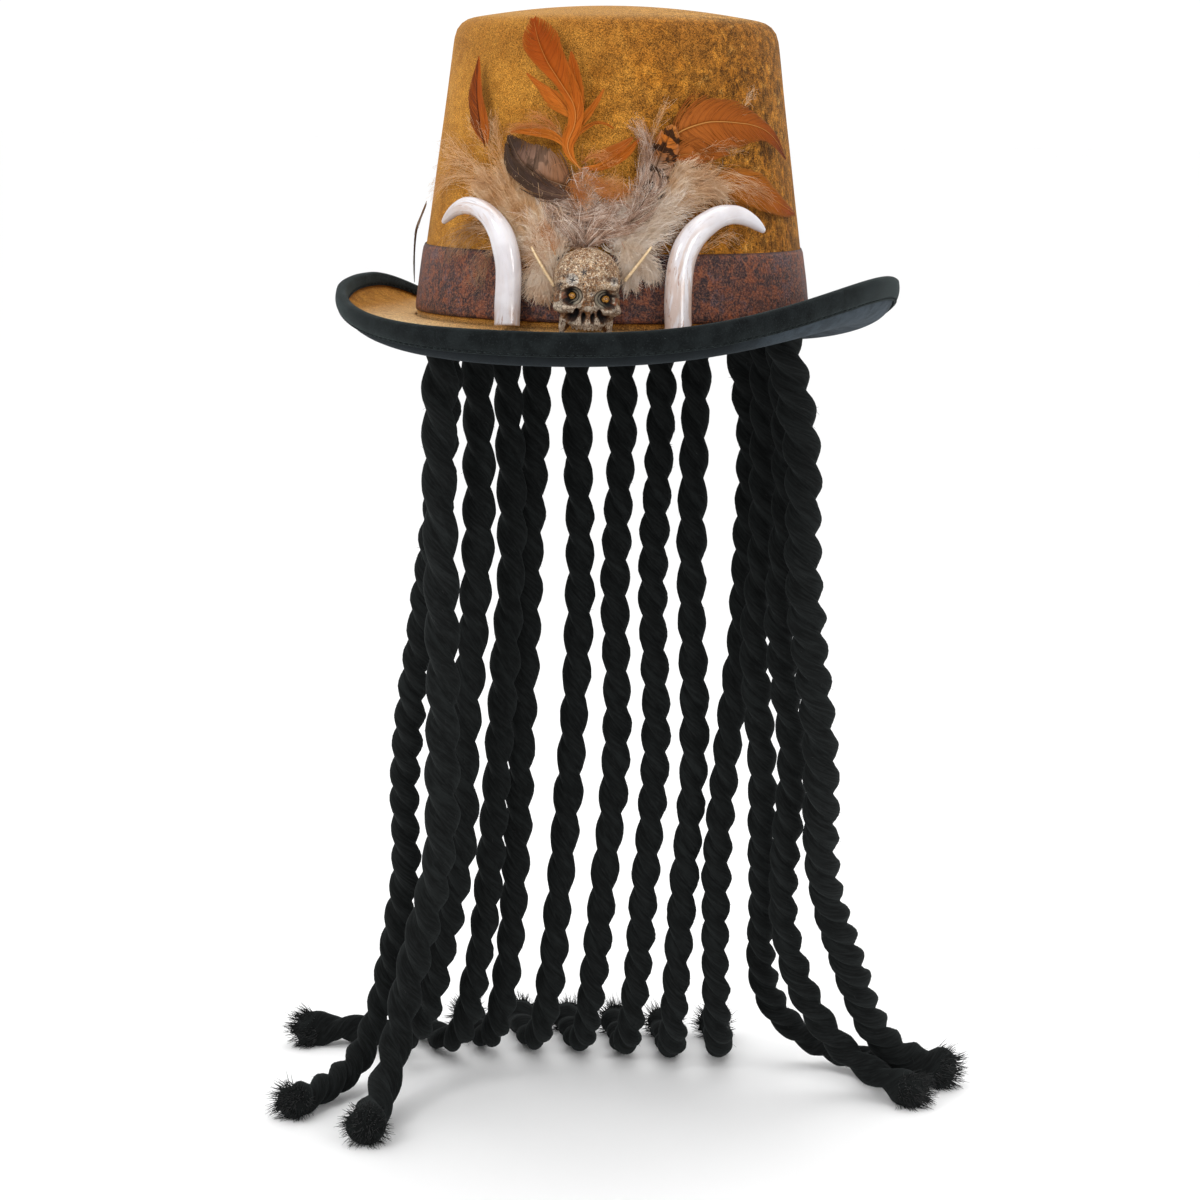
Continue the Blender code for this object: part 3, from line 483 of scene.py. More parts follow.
# the binding over the brim's edge, with its stitching
binding = {"from": 0.858, "near": 0.42, "thick": 1.0, "fold": 1.75, "puff": 0.5, "lip": -0.45,
           "seamAt": 0.873, "seamWidth": 0.006, "seamDepth": 0.42, "ripple": 0.12, "rows": 12, "around": 300,
           "stitch": 3.0, "stitchGap": 1.1, "thread": 0.34, "fine": 3000}


def bindingFinish():  # black velvet ribbon with a green cast, paler where it is rubbed
    paint = Finish("blackVelvet", Roughness=0.9, Sheen_Weight=0.3, Sheen_Roughness=0.35,
                   Sheen_Tint=rgb("#8C9C9C"), Specular_IOR_Level=0.08)
    at = paint.place()
    cloud = paint.noise(at, 0.11, 5.0, 0.6)
    pile = paint.noise(at, 1.3, 4.0, 0.75)
    lint = paint.noise(at, 0.7, 2.0)
    base = paint.coats(
        "#0C0F10",
        (paint.band(cloud, 0.35, 0.66), "#181C1D"),
        (paint.band(pile, 0.52, 0.70) * 0.6, "#2B3132"),
        (paint.band(lint, 0.75, 0.80) * 0.4, "#5C6364"))
    paint.join(base, "Base Color")
    paint.bump(pile + cloud * 0.4, 0.5, 0.7)
    return paint


def makeBinding(finish):
    # a closed section round the brim's edge: out above it, round a half circle, back below, and in again
    # along the layers; a groove runs along the seam, where the stitches lie
    top, bottom = brim["top"] + binding["near"], -brim["under"] - binding["near"]
    upper, lower = top + binding["thick"], bottom - binding["thick"]
    s = np.linspace(binding["from"], 1.0, binding["rows"])
    along = (s - binding["from"]) / (1 - binding["from"])
    puff = binding["puff"] * np.sin(np.clip(along * 1.15 - 0.12, 0, 1) * math.pi) ** 0.8
    groove = -binding["seamDepth"] * hump(s, binding["seamAt"], binding["seamWidth"])
    turn = np.linspace(0, math.pi, 9)[1:-1]
    middle, half = (upper + lower) / 2, (upper - lower) / 2
    fold = np.stack([np.ones(len(turn)), middle + half * np.cos(turn), binding["fold"] * np.sin(turn)], -1)
    section = np.concatenate([
        np.stack([s, upper + puff + groove, 0 * s], -1), fold,
        np.stack([s, lower - puff - groove, 0 * s], -1)[::-1],
        [[binding["from"], (lower + bottom) / 2, binding["lip"]]],
        np.stack([s, np.full(len(s), bottom), 0 * s], -1),
        np.stack([s, np.full(len(s), top), 0 * s], -1)[::-1],
        [[binding["from"], (upper + top) / 2, binding["lip"]]]])
    phi = np.arange(binding["around"]) * 2 * math.pi / binding["around"]
    phi, share = np.meshgrid(phi, section[:, 0], indexing="ij")
    ripple = softNoise(brimCurve(phi, 1.0 + 0 * share), 21, 0.16) * binding["ripple"]
    outerSide = np.abs(section[:, 1] - middle) > (top - bottom) / 2 + 0.2
    off = section[:, 1] + np.sign(section[:, 1] - middle) * np.where(outerSide, ripple, 0)
    points = brimPoint(phi, share, off, section[:, 2][None] + 0 * phi)
    quads = gridQuads(binding["around"], len(section), True, True)
    piece = makePiece("binding_ribbon", points, quads, finish)
    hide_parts("brim_binding")
    # stitches: short capsules lying in the groove, on the upper and the lower side
    for name, off, way in (("stitching_upper", upper + 0.02, 1.0), ("stitching_lower", lower - 0.02, -1.0)):
        fine = np.linspace(0, 2 * math.pi, binding["fine"])
        route = brimPoint(fine, np.full(len(fine), binding["seamAt"]), np.full(len(fine), off))
        walked = np.concatenate([[0.0], np.cumsum(np.linalg.norm(np.diff(route, axis=0), axis=1))])
        count = int(walked[-1] // (binding["stitch"] + binding["stitchGap"]))
        start = np.arange(count) * walked[-1] / count
        ring = start[:, None] + np.linspace(0, 1, 5) * binding["stitch"]
        turnAt = np.interp(ring, walked, fine)
        sink = np.array([-0.25, 0.05, 0.12, 0.05, -0.25]) * way
        centres = brimPoint(turnAt, np.full(turnAt.shape, binding["seamAt"]), off + sink[None] + 0 * turnAt)
        size = binding["thread"] * np.array([0.5, 0.9, 1.0, 0.9, 0.5])
        makeStrands(name, [strands(centres, None, size * 2, size * 2)], finish)
    print("binding with", 2 * count, "stitches")


# thin strands: barbs, down, fibres and stitches
def strands(centres, facing, width, depth, along=None, across=0.0, tone=0.0):
    # centres (n, k, 3); each strand is a closed blade of triangular section, width across, depth along facing
    centres = np.asarray(centres, float)
    run = unit(np.gradient(centres, axis=1))
    if facing is None:
        facing = np.cross(run, np.array([0.31, 0.22, 0.92]))
    face = unit(facing - run * np.sum(facing * run, axis=-1, keepdims=True))
    edge = np.cross(run, face)
    w, d = (np.broadcast_to(v, centres.shape[:2])[..., None] / 2 for v in (width, depth))
    points = np.stack([centres + edge * w, centres + face * d, centres - edge * w], axis=2)
    n, k = centres.shape[:2]
    along = np.broadcast_to(np.linspace(0, 1, k) if along is None else along, (n, k))
    across = np.broadcast_to(across, (n, k))
    tone = np.broadcast_to(np.reshape(tone, (-1, 1)), (n, k))
    return {"points": points, "along": along, "across": across, "tone": tone}


def makeStrands(name, bundles, finish):
    # every strand has its own cell of the atlas, with a margin: three long sides and two ends
    margin = 0.05
    points, quads, tris, sides, ends = [], [], [], [], []
    marks = {"along": [], "across": [], "tone": []}
    cells = math.ceil(math.sqrt(sum(bundle["points"].shape[0] for bundle in bundles)))
    offset = seen = 0
    for bundle in bundles:
        n, k = bundle["points"].shape[:2]
        first = (np.arange(n) * 3 * k)[:, None, None] + offset
        quads.append((gridQuads(k, 3, closedColumns=True)[None] + first).reshape(-1, 4))
        tris.append((np.array([[2, 1, 0], [3 * k - 3, 3 * k - 2, 3 * k - 1]])[None] + first).reshape(-1, 3))
        points.append(bundle["points"].reshape(-1, 3))
        for key in marks:
            marks[key].append(np.repeat(bundle[key].reshape(-1), 3))
        i, j = (grid.reshape(-1, 1) for grid in np.meshgrid(np.arange(k - 1), np.arange(3), indexing="ij"))
        side = np.stack([(i + [0, 0, 1, 1]) / (k - 1), (j + [0, 1, 1, 0]) / 3], -1)
        end = np.array([[[0.0, 0.0], [0.05, 0.0], [0.05, 0.05]], [[0.95, 1.0], [1.0, 1.0], [1.0, 0.95]]])
        spot = np.arange(seen, seen + n)
        cell = np.stack([spot % cells, spot // cells], -1)[:, None, None, :]
        for spots, corners in ((sides, side), (ends, end)):
            placed = (cell + margin + corners * (1 - 2 * margin)) / cells
            spots.append(placed.reshape(-1, *corners.shape[1:]))
        offset += n * 3 * k
        seen += n
    points, quads, tris, sides, ends = (np.concatenate(part) for part in (points, quads, tris, sides, ends))
    if facingOut(points, quads, tris)[0][0, 0] != quads[0, 0]:
        sides, ends = sides[:, ::-1], ends[:, ::-1]
    atlas = np.concatenate([sides.ravel(), ends.ravel()])
    marks = {key: np.concatenate(value) for key, value in marks.items()}
    return makePiece(name, points, quads, finish, tris=tris, atlas=atlas, marks=marks)


# the band
band = {"bottom": 4.3, "height": 32.5, "near": 0.3, "thick": 1.2, "around": 260, "up": 18, "wrinkle": 0.16}


def leatherFinish():  # thin brown leatherette, blotched with rust and blue grey, darker at its edges
    paint = Finish("brownLeatherette", Roughness=0.55, Specular_IOR_Level=0.3)
    at = paint.place()
    high = paint.axis(at, 2)
    cloud = paint.noise(at, 0.05, 5.0, 0.62, 0.5)
    blotch = paint.noise(at, 0.17, 7.0, 0.72, 0.7)
    rust = paint.noise(paint.place((1.0, 1.0, 1.3)), 0.14, 7.0, 0.74, 0.6)
    grain = paint.cells(at, 1.1)
    fine = paint.noise(at, 1.0, 5.0, 0.8, 0.4)
    edge = paint.band(high, 35.6, 36.7) + paint.band(0.0 - high, -5.2, -4.4)
    base = paint.coats(
        "#48302F",
        (paint.band(cloud, 0.42, 0.58), "#5E352B"),
        (paint.band(blotch, 0.50, 0.56) * 0.85, "#7E4630"),
        (paint.band(1.0 - blotch, 0.50, 0.56) * 0.9, "#2B1F26"),
        (paint.band(paint.noise(at, 0.085, 6.0, 0.7), 0.53, 0.61) * 0.7, "#4E444E"),
        (paint.band(rust, 0.56, 0.62) * 0.8, "#8C4B2C"),
        (paint.band(1.0 - rust, 0.57, 0.63) * 0.75, "#1D1315"),
        (paint.band(fine, 0.51, 0.59) * 0.5, "#A26A48"),
        (paint.band(1.0 - fine, 0.51, 0.58) * 0.8, "#170D0F"),
        (edge * 0.6, "#2A1712"))
    paint.join(base, "Base Color")
    paint.join(0.42 + blotch * 0.34, "Roughness")
    paint.bump(grain * 0.8 + fine * 0.9 + blotch, 0.4, 0.7)
    return paint


def makeBand(finish):
    # a strip on the crown's wall: its section runs up the outside and down the inside, with turned edges
    near, far = band["near"], band["near"] + band["thick"]
    bottom, top = band["bottom"], band["bottom"] + band["height"]
    up = np.linspace(0, 1, band["up"])
    soft = 1 - np.clip(np.abs(up - 0.5) * 2, 0, 1) ** 14
    outside = np.stack([near + (far - near) * (0.45 + 0.55 * soft), bottom + (top - bottom) * up], -1)
    inside = np.stack([np.full(8, near), np.linspace(top, bottom, 8)], -1)
    section = np.concatenate([outside, inside])
    phi = np.arange(band["around"]) * 2 * math.pi / band["around"]
    phi, z = np.meshgrid(phi, section[:, 1], indexing="ij")
    flat = onCrown(phi, z, 0.0)
    wave = softNoise(flat * (1, 1, 3.0), 31, 0.09) * 0.6 + softNoise(flat * (1, 1, 0.4), 32, 0.3) * 0.4
    outer = (np.arange(len(section)) < band["up"])[None]
    off = section[:, 0][None] + np.where(outer, np.clip(wave, -1, 1) * band["wrinkle"], 0)
    quads = gridQuads(band["around"], len(section), True, True)
    piece = makePiece("band_leatherette", onCrown(phi, z, off), quads, finish)
    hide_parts("hat_band")
    print("band", off.size, "points")


# the skull, in its own axes: x to the right, y to the back, z up, from the middle of its head
skull = {"angle": 3.0, "height": 21.5, "off": 3.6, "middle": 9.6, "back": 9.0, "foot": -21.0,
         "tilt": math.radians(3.5), "look": math.radians(9.0), "around": 216, "up": 150,
         "start": (0.0, 3.0, -2.0), "reach": 30.0, "halvings": 22, "pole": 0.03, "crowding": 0.62,
         # for its paint: the relief of a full ridge, how many rays off it is judged, and how far back ridges
         # go; the depth that is fully dark; how far back pits go; arcs in the sockets (share of the socket's
         # size, width, strength)
         "ridge": {"full": 0.35, "apart": 6, "back": 2.0}, "deep": 2.6, "face": 3.0,
         "paleArcs": ((0.80, 0.10, 1.0), (0.52, 0.08, 0.8)), "rustArc": (0.92, 0.10), "pitDepth": 0.6,
         "carving": ((41, 1.1, 0.20), (42, 0.45, 0.16), (43, 2.1, 0.12)),  # seed, scale, depth
         "bead": {"share": 0.33, "depth": -6.6, "up": 22, "around": 32},
         # balls of bone: middle, half sizes, softness of the joint; pairs also have a reach to each side
         "head": ((-0.2, 3.0, 3.9), (15.5, 15.3, 14.7)),
         "lumps": (((0.1, -0.6, -5.4), (15.3, 10.4, 7.4), 3.0),  # face
                   ((0.6, -4.5, -13.5), (10.4, 6.6, 5.6), 2.4),  # upper jaw
                   ((0.9, -10.0, -2.8), (1.2, 1.9, 4.2), 1.2),  # bridge and tip of the nose
                   ((1.0, -9.6, -8.6), (2.7, 2.6, 2.4), 1.4),
                   ((0.7, -8.4, -16.0), (7.8, 4.4, 2.4), 1.2)),  # gum
         "pairs": (((0.4, -4.7, -9.4), 11.4, (4.4, 5.2, 2.7), 2.2),  # cheekbones
                   ((0.7, -7.6, 2.2), 7.8, (6.2, 3.1, 1.8), 2.4),  # brows
                   ((0.5, -3.6, -16.6), 10.6, (1.9, 2.8, 7.6), 1.0)),  # stumps of the jaw
         "teeth": {"count": 8, "step": 1.8, "middle": (0.7, -11.5, -17.4), "bend": 0.075,
                   "size": (0.86, 0.8, 1.6), "soft": 0.45},
         "hollows": (((0.8, -12.0, -10.9), 5.3, (1.5, 6.0, 2.2), 0.5),  # cheeks, running down and out
                     ((0.8, -10.4, -13.4), 8.0, (2.5, 6.0, 2.0), 0.8),
                     ((0.9, -14.0, -12.6), 2.1, (1.35, 6.2, 2.6), 0.4),  # nose
                     ((0.3, -6.0, -3.0), 17.2, (2.0, 5.5, 3.2), 1.2)),  # temples
         "sockets": (((-7.0, -12.0, -3.6), (4.9, 7.2, 4.5)), ((8.6, -12.0, -4.2), (5.6, 7.4, 4.8))),
         "rim": {"y": -9.4, "wider": 0.4, "thick": 0.6, "soft": 1.4},
         "beadRing": {"y": -6.4, "share": 0.62, "thick": 0.5, "soft": 0.35},
         # painted pits: across, up, size, arms and the share of a white halo round it
         "pits": ((-2.5, 7.9, 1.6, 5, 0.3), (-7.6, 3.9, 1.4, 4, 1.0), (-13.0, 1.4, 1.3, 5, 0.0),
                  (12.1, 4.2, 0.95, 2, 1.0), (-8.9, 13.6, 0.6, 3, 0.0), (3.0, 12.4, 0.6, 3, 0.0),
                  (-2.4, 2.4, 0.55, 3, 0.0), (5.6, 14.8, 0.65, 3, 0.0), (10.4, 12.6, 0.5, 2, 0.0),
                  (-10.3, 8.4, 0.55, 3, 0.0), (7.6, 10.0, 0.4, 2, 0.0), (1.7, -2.2, 0.6, 3, 0.6))}


def ball(p, place, radii):  # how far a point is outside an ellipsoid, roughly; less than 0 inside
    return (np.linalg.norm((p - np.array(place)) / np.array(radii), axis=-1) - 1) * min(radii)


def blend(a, b, soft):  # the nearer of two shapes, with a soft joint between them
    mix = np.clip(0.5 + 0.5 * (b - a) / soft, 0, 1)
    return b + (a - b) * mix - soft * mix * (1 - mix)


def ringShape(p, place, wide, thin):  # a ring that faces the front
    q = p - np.array(place)
    return np.hypot(np.hypot(q[..., 0], q[..., 2]) - wide, q[..., 1]) - thin


def skullBone(p):  # the bone before its sockets and hollows are taken out: blended balls
    bone = ball(p, *skull["head"])
    for place, radii, soft in skull["lumps"]:
        bone = blend(bone, ball(p, place, radii), soft)
    for side in (-1, 1):
        for (x, y, z), reach, radii, soft in skull["pairs"]:
            bone = blend(bone, ball(p, (x + side * reach, y, z), radii), soft)
    teeth = skull["teeth"]
    x, y, z = teeth["middle"]
    for k in range(teeth["count"]):  # on a parabola
        across = (k - (teeth["count"] - 1) / 2) * teeth["step"]
        tooth = ball(p, (x + across, y + across**2 * teeth["bend"], z), teeth["size"])
        bone = blend(bone, tooth, teeth["soft"])
    return bone


def skullShape(p):  # the bone with a raised rim at each socket, less the sockets and the hollows
    body = skullBone(p)
    rim, beadRing = skull["rim"], skull["beadRing"]
    for (x, _, z), radii in skull["sockets"]:
        raised = ringShape(p, (x, rim["y"], z), radii[0] + rim["wider"], rim["thick"])
        body = blend(body, raised, rim["soft"])
    for place, radii in skull["sockets"]:
        body = -blend(-body, ball(p, place, radii), 0.5)
        seat = (place[0], beadRing["y"], place[2])
        raised = ringShape(p, seat, radii[0] * beadRing["share"], beadRing["thick"])
        body = blend(body, raised, beadRing["soft"])
    for side in (-1, 1):
        for (x, y, z), reach, radii, soft in skull["hollows"]:
            body = -blend(-body, ball(p, (x + side * reach, y, z), radii), soft)
    return body


def boneFinish():  # cast resin painted as old bone: speckled, brown in its grooves, white on its ridges
    paint = Finish("boneResin", Roughness=0.5, Specular_IOR_Level=0.4, Coat_Weight=0.15, Coat_Roughness=0.25)
    at = paint.place()
    deep, pit, low, ridge, halo, arc = map(paint.mark, ("deep", "pit", "low", "ridge", "halo", "arc"))
    worm = paint.noise(at, 0.62, 3.0, 0.6, 1.8)
    away = paint.node("ShaderNodeMath", {"operation": "ABSOLUTE"}, {0: worm - 0.5})
    crack = 1.0 - paint.band(away, 0.0, 0.06)
    fine = paint.noise(at, 0.9, 3.0, 0.7, 1.0)
    speck = paint.noise(at, 1.3, 2.0, 0.6, 0.4)
    wash = paint.noise(at, 0.20, 4.0, 0.65)
    # darker and browner towards the bottom of the face
    lowerDarkening = (low * 0.8 + paint.band(paint.noise(at, 0.35, 4.0, 0.7), 0.45, 0.60) * low * 0.5).held()
    patch = paint.band(paint.noise(at, 0.30, 3.0, 0.6, 0.5), 0.47, 0.57) * low
    base = paint.coats(
        "#A8784A",
        (paint.band(wash, 0.40, 0.60), "#D0AC84"),
        ((0.0 - ridge).held() * 0.5, "#6A4422"),
        (paint.band(ridge, 0.15, 0.9) * 0.35, "#E2CFB4"),
        (lowerDarkening * 0.5, "#8A5A2C"),
        (paint.band(halo, 0.15, 0.7) * (0.4 + wash), "#ECE6DC"),
        (paint.band(fine, 0.50, 0.60) * 0.9, "#EBD6B8"),
        (paint.band(1.0 - fine, 0.54, 0.63) * 0.9, "#7A4A20"),
        (crack * 0.75, "#6A3E18"),
        (paint.band(speck, 0.60, 0.68) * 0.85, "#F6ECDC"),
        (paint.band(1.0 - speck, 0.62, 0.70) * 0.75, "#3E240E"),
        (paint.band(0.0 - ridge, 0.20, 0.9) * 0.6, "#3A200E"),
        # the lower face is browner and more broken
        (lowerDarkening * 0.4, "#5E3412"),
        (patch * 0.8, "#9A6024"),
        (paint.band(ridge, 0.30, 0.8) * low * 0.6, "#F4E6D0"),
        (paint.band(1.0 - fine, 0.52, 0.60) * low * 0.9, "#5E3614"),
        (crack * low * 0.5, "#5A3614"),
        # sockets and nose, their arcs, and the painted pits
        (paint.band(deep, 0.04, 0.30) * 0.92, "#3A1E0C"),
        (paint.band(deep, 0.26, 0.60), "#0A0706"),
        (paint.band(arc, 0.10, 0.70) * 0.95, "#CDBFA8"),
        (paint.band(0.0 - arc, 0.10, 0.70) * 0.85, "#8E4A1C"),
        (paint.band(pit, 0.30, 0.80) * 0.9, "#2E2D33"))
    paint.join(base, "Base Color")
    paint.join(0.36 + fine * 0.3, "Roughness")
    paint.bump(fine * 1.4 - crack * 1.2 + speck * 0.8, 0.6, 1.0)
    return paint


def eyeFinish():  # amber beads, with a dark swirl
    paint = Finish("amberBead", Roughness=0.25, Coat_Weight=0.4, Coat_Roughness=0.12)
    at = paint.place()
    swirl = paint.noise(at, 0.7, 3.0, 0.6, 1.6)
    base = paint.mix(paint.band(swirl, 0.40, 0.60), "#7A4A14", "#B98432")
    paint.join(paint.mix(paint.band(1.0 - swirl, 0.54, 0.60) * 0.85, base, "#38200E"), "Base Color")
    return paint


def seatSkull(points):  # from the skull's own axes to its place against the band
    tilt, turn = skull["tilt"], math.radians(skull["angle"])
    look = turn + skull["look"]
    x = points[..., 0] * math.cos(tilt) + points[..., 2] * math.sin(tilt)
    z = points[..., 2] * math.cos(tilt) - points[..., 0] * math.sin(tilt)
    y = points[..., 1]
    x, y = x * math.cos(look) - y * math.sin(look), x * math.sin(look) + y * math.cos(look)
    return np.stack([x, y, z], -1) + onCrown(np.array(turn), skull["height"], skull["off"] + skull["middle"])


def makeSkull(bone, amber):
    # rays from the middle, closer together over the face; each is stopped where it leaves the shape
    polar = np.linspace(skull["pole"], math.pi - skull["pole"], skull["up"])
    even = np.arange(skull["around"]) * 2 * math.pi / skull["around"]
    turn = even - skull["crowding"] * np.sin(even)
    polar, turn = np.meshgrid(polar, turn, indexing="ij")
    ray = np.stack([np.sin(polar) * np.sin(turn), -np.sin(polar) * np.cos(turn), np.cos(polar)], axis=-1)
    start = np.array(skull["start"])
    low, high = np.zeros(polar.shape), np.full(polar.shape, skull["reach"])
    for _ in range(skull["halvings"]):
        middle = (low + high) / 2
        inside = skullShape(start + ray * middle[..., None]) < 0
        low, high = np.where(inside, middle, low), np.where(inside, high, middle)
    points = start + ray * low[..., None]
    apart = skull["ridge"]["apart"]
    nearby = [np.roll(low, (i, j), (0, 1)) for i in (-apart, 0, apart) for j in (-apart, 0, apart)]
    relief = low - sum(nearby) / len(nearby)
    ridge = np.clip(relief / skull["ridge"]["full"], -1, 1) * (points[..., 1] < skull["ridge"]["back"])
    deep = np.clip(-skullBone(points) / skull["deep"], 0, 1)
    arc = np.zeros(low.shape)
    for (x, _, z), radii in skull["sockets"]:  # two pale arcs by the nose and a rusty one outside
        far = np.hypot((points[..., 0] - x) / radii[0], (points[..., 2] - z) / radii[2])
        out = np.sign(x) * (points[..., 0] - x) / radii[0] / np.maximum(far, 0.1)
        pale = sum(strength * hump(far, share, width) for share, width, strength in skull["paleArcs"])
        rusty = hump(far, *skull["rustArc"])
        arc = arc + pale * np.clip(0.35 - out, 0, 1) - rusty * np.clip(out + 0.3, 0, 1)
    ahead = points[..., 1] < skull["face"]
    pit, halo = np.zeros(low.shape), np.zeros(low.shape)
    for x, z, size, arms, pale in skull["pits"]:
        q = np.stack([points[..., 0] - x, points[..., 2] - z], -1)
        swirl = 0.8 + 0.42 * np.sin(np.arctan2(q[..., 1], q[..., 0]) * arms + x * 3)
        far = np.linalg.norm(q, axis=-1) / size
        pit = np.maximum(pit, np.exp(-(far / swirl) ** 3) * ahead)
        halo = np.maximum(halo, pale * np.exp(-(far / 2.1) ** 4) * ahead)
    carve = sum(softNoise(points, seed, scale) * depth for seed, scale, depth in skull["carving"])
    points = points + ray * (carve * (1 - deep) - pit * skull["pitDepth"])[..., None]
    points[..., 1] = np.minimum(points[..., 1], skull["back"])
    points[..., 2] = np.maximum(points[..., 2], skull["foot"])
    rows, columns = low.shape
    both, fans = poleFans(seatSkull(points), rows, columns)
    face = np.clip((-points[..., 2] - 0.5 + 1.5 * softNoise(points, 44, 0.5)) / 3.5, 0, 1)
    marks = {"deep": deep, "pit": pit, "halo": halo, "arc": arc, "low": face, "ridge": ridge}
    marks = {key: np.concatenate([value.ravel(), [0, 0]]) for key, value in marks.items()}
    piece = makePiece("skull_carving", both, gridQuads(rows, columns, closedColumns=True), bone,
                      tris=fans, marks=marks)
    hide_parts("skull")
    bead = skull["bead"]
    rows, columns = bead["up"], bead["around"]
    latitude, longitude = np.meshgrid(np.linspace(0.12, math.pi - 0.12, rows),
                                      np.arange(columns) * 2 * math.pi / columns, indexing="ij")
    sphere = np.stack([np.sin(latitude) * np.cos(longitude), np.cos(latitude),
                      np.sin(latitude) * np.sin(longitude)], -1)
    shapes, faces, caps = [], [], []
    for k, ((x, _, z), radii) in enumerate(skull["sockets"]):
        eye = sphere * radii[0] * bead["share"] + (x, bead["depth"], z)
        both, fans = poleFans(seatSkull(eye), rows, columns)
        faces.append(gridQuads(rows, columns, closedColumns=True) + k * len(both))
        caps.append(fans + k * len(both))
        shapes.append(both)
    makePiece("skull_eyes", np.concatenate(shapes), np.concatenate(faces), amber,
              tris=np.concatenate(caps))
    print("skull", low.size, "points")


# horns and quills: points of (angle, height, stand-off, radius)
horns = {"around": 40, "rings": 110, "lip": (0.86, 0.5, 0.12), "lipStep": (0.25, 0.5, 0.58), "tipStep": 1.5,
         "horn_left": ((-18.2, 2.5, 9.4, 6.1), (-18.5, 12.0, 9.4, 6.3), (-18.5, 22.0, 9.9, 6.2),
                        (-18.8, 31.0, 10.6, 6.2), (-20.0, 40.0, 11.5, 6.2), (-21.8, 47.0, 12.1, 5.8),
                        (-25.2, 53.2, 12.2, 5.0), (-29.2, 56.8, 12.2, 4.5), (-33.6, 57.8, 12.2, 4.1),
                        (-37.5, 55.6, 12.2, 3.2), (-40.3, 52.3, 12.2, 2.3), (-42.0, 49.8, 12.2, 1.4)),
         "horn_right": ((26.1, 2.3, 9.4, 6.4), (26.1, 13.4, 9.5, 6.5), (26.4, 23.0, 9.8, 6.5),
                        (27.0, 31.5, 10.2, 6.45), (28.3, 39.0, 10.5, 6.4), (30.6, 45.4, 10.6, 6.3),
                        (33.8, 50.4, 10.6, 5.9), (38.0, 54.4, 10.6, 5.3), (42.0, 55.7, 10.6, 4.7),
                        (45.6, 55.0, 10.6, 4.2), (48.9, 52.8, 10.6, 3.4), (51.4, 50.3, 10.6, 2.6),
                        (53.1, 48.2, 10.6, 1.6))}
quills = {"radius": 0.8, "rings": 40, "bow": 0.7,
          "quill_left": ((-13.4, 39.5, 6.6), (-6.4, 22.0, 6.6)),
          "quill_right": ((19.6, 40.5, 6.6), (12.6, 25.0, 6.6))}


def ivoryFinish(name, tip, veined):
    # glossy cast resin: white, with tan and pinkish grey veins that run up the horn. They are thick up to
    # where the first two values of veined lie along it, and again past the last two
    paint = Finish(name, Roughness=0.14, Specular_IOR_Level=0.5, Coat_Weight=0.6, Coat_Roughness=0.04,
                   Subsurface_Weight=0.08, Subsurface_Radius=(0.004, 0.003, 0.002), Subsurface_Scale=1.0)
    grain, along = paint.mark("grain", "Vector"), paint.mark("along")
    at = paint.place()
    veil = paint.noise(grain, 0.15, 5.0, 0.6, 0.8)
    vein = paint.noise(grain, 0.34, 6.0, 0.7, 1.6)
    wide = paint.noise(at, 0.06, 3.0)
    root = (paint.band(1.0 - along, 1.0 - veined[1], 1.0 - veined[0])
            + paint.band(along, veined[2], veined[3]) * paint.band(1.0 - along, 0.08, 0.22)).held()
    base = paint.coats(
        "#D6D3D6",
        (paint.band(wide, 0.40, 0.60), "#C8C3C6"),
        (paint.band(veil, 0.46, 0.58) * (root * 0.62 + 0.10), "#B79C8C"),
        (paint.band(1.0 - veil, 0.54, 0.66) * 0.35, "#CFCCD2"),
        (paint.band(vein, 0.56, 0.63) * (root * 0.75 + 0.10), "#94705F"),
        (paint.band(1.0 - vein, 0.59, 0.67) * (root * 0.4 + 0.15), "#8E858C"),
        (paint.band(along, 0.72, 0.95) * 0.8, tip))
    paint.join(base, "Base Color")
    paint.bump(veil + vein * 0.5, 0.2, 0.3)
    return paint


def strawFinish():  # a clipped feather shaft: two straws, finely mottled
    paint = Finish("quillStraw", Roughness=0.4, Specular_IOR_Level=0.5)
    at = paint.place()
    fine = paint.noise(at, 0.8, 3.0, 0.6)
    paint.join(paint.mix(paint.band(fine, 0.40, 0.64), "#C4A67C", "#DCC29A"), "Base Color")
    paint.bump(fine, 0.2, 0.4)
    return paint


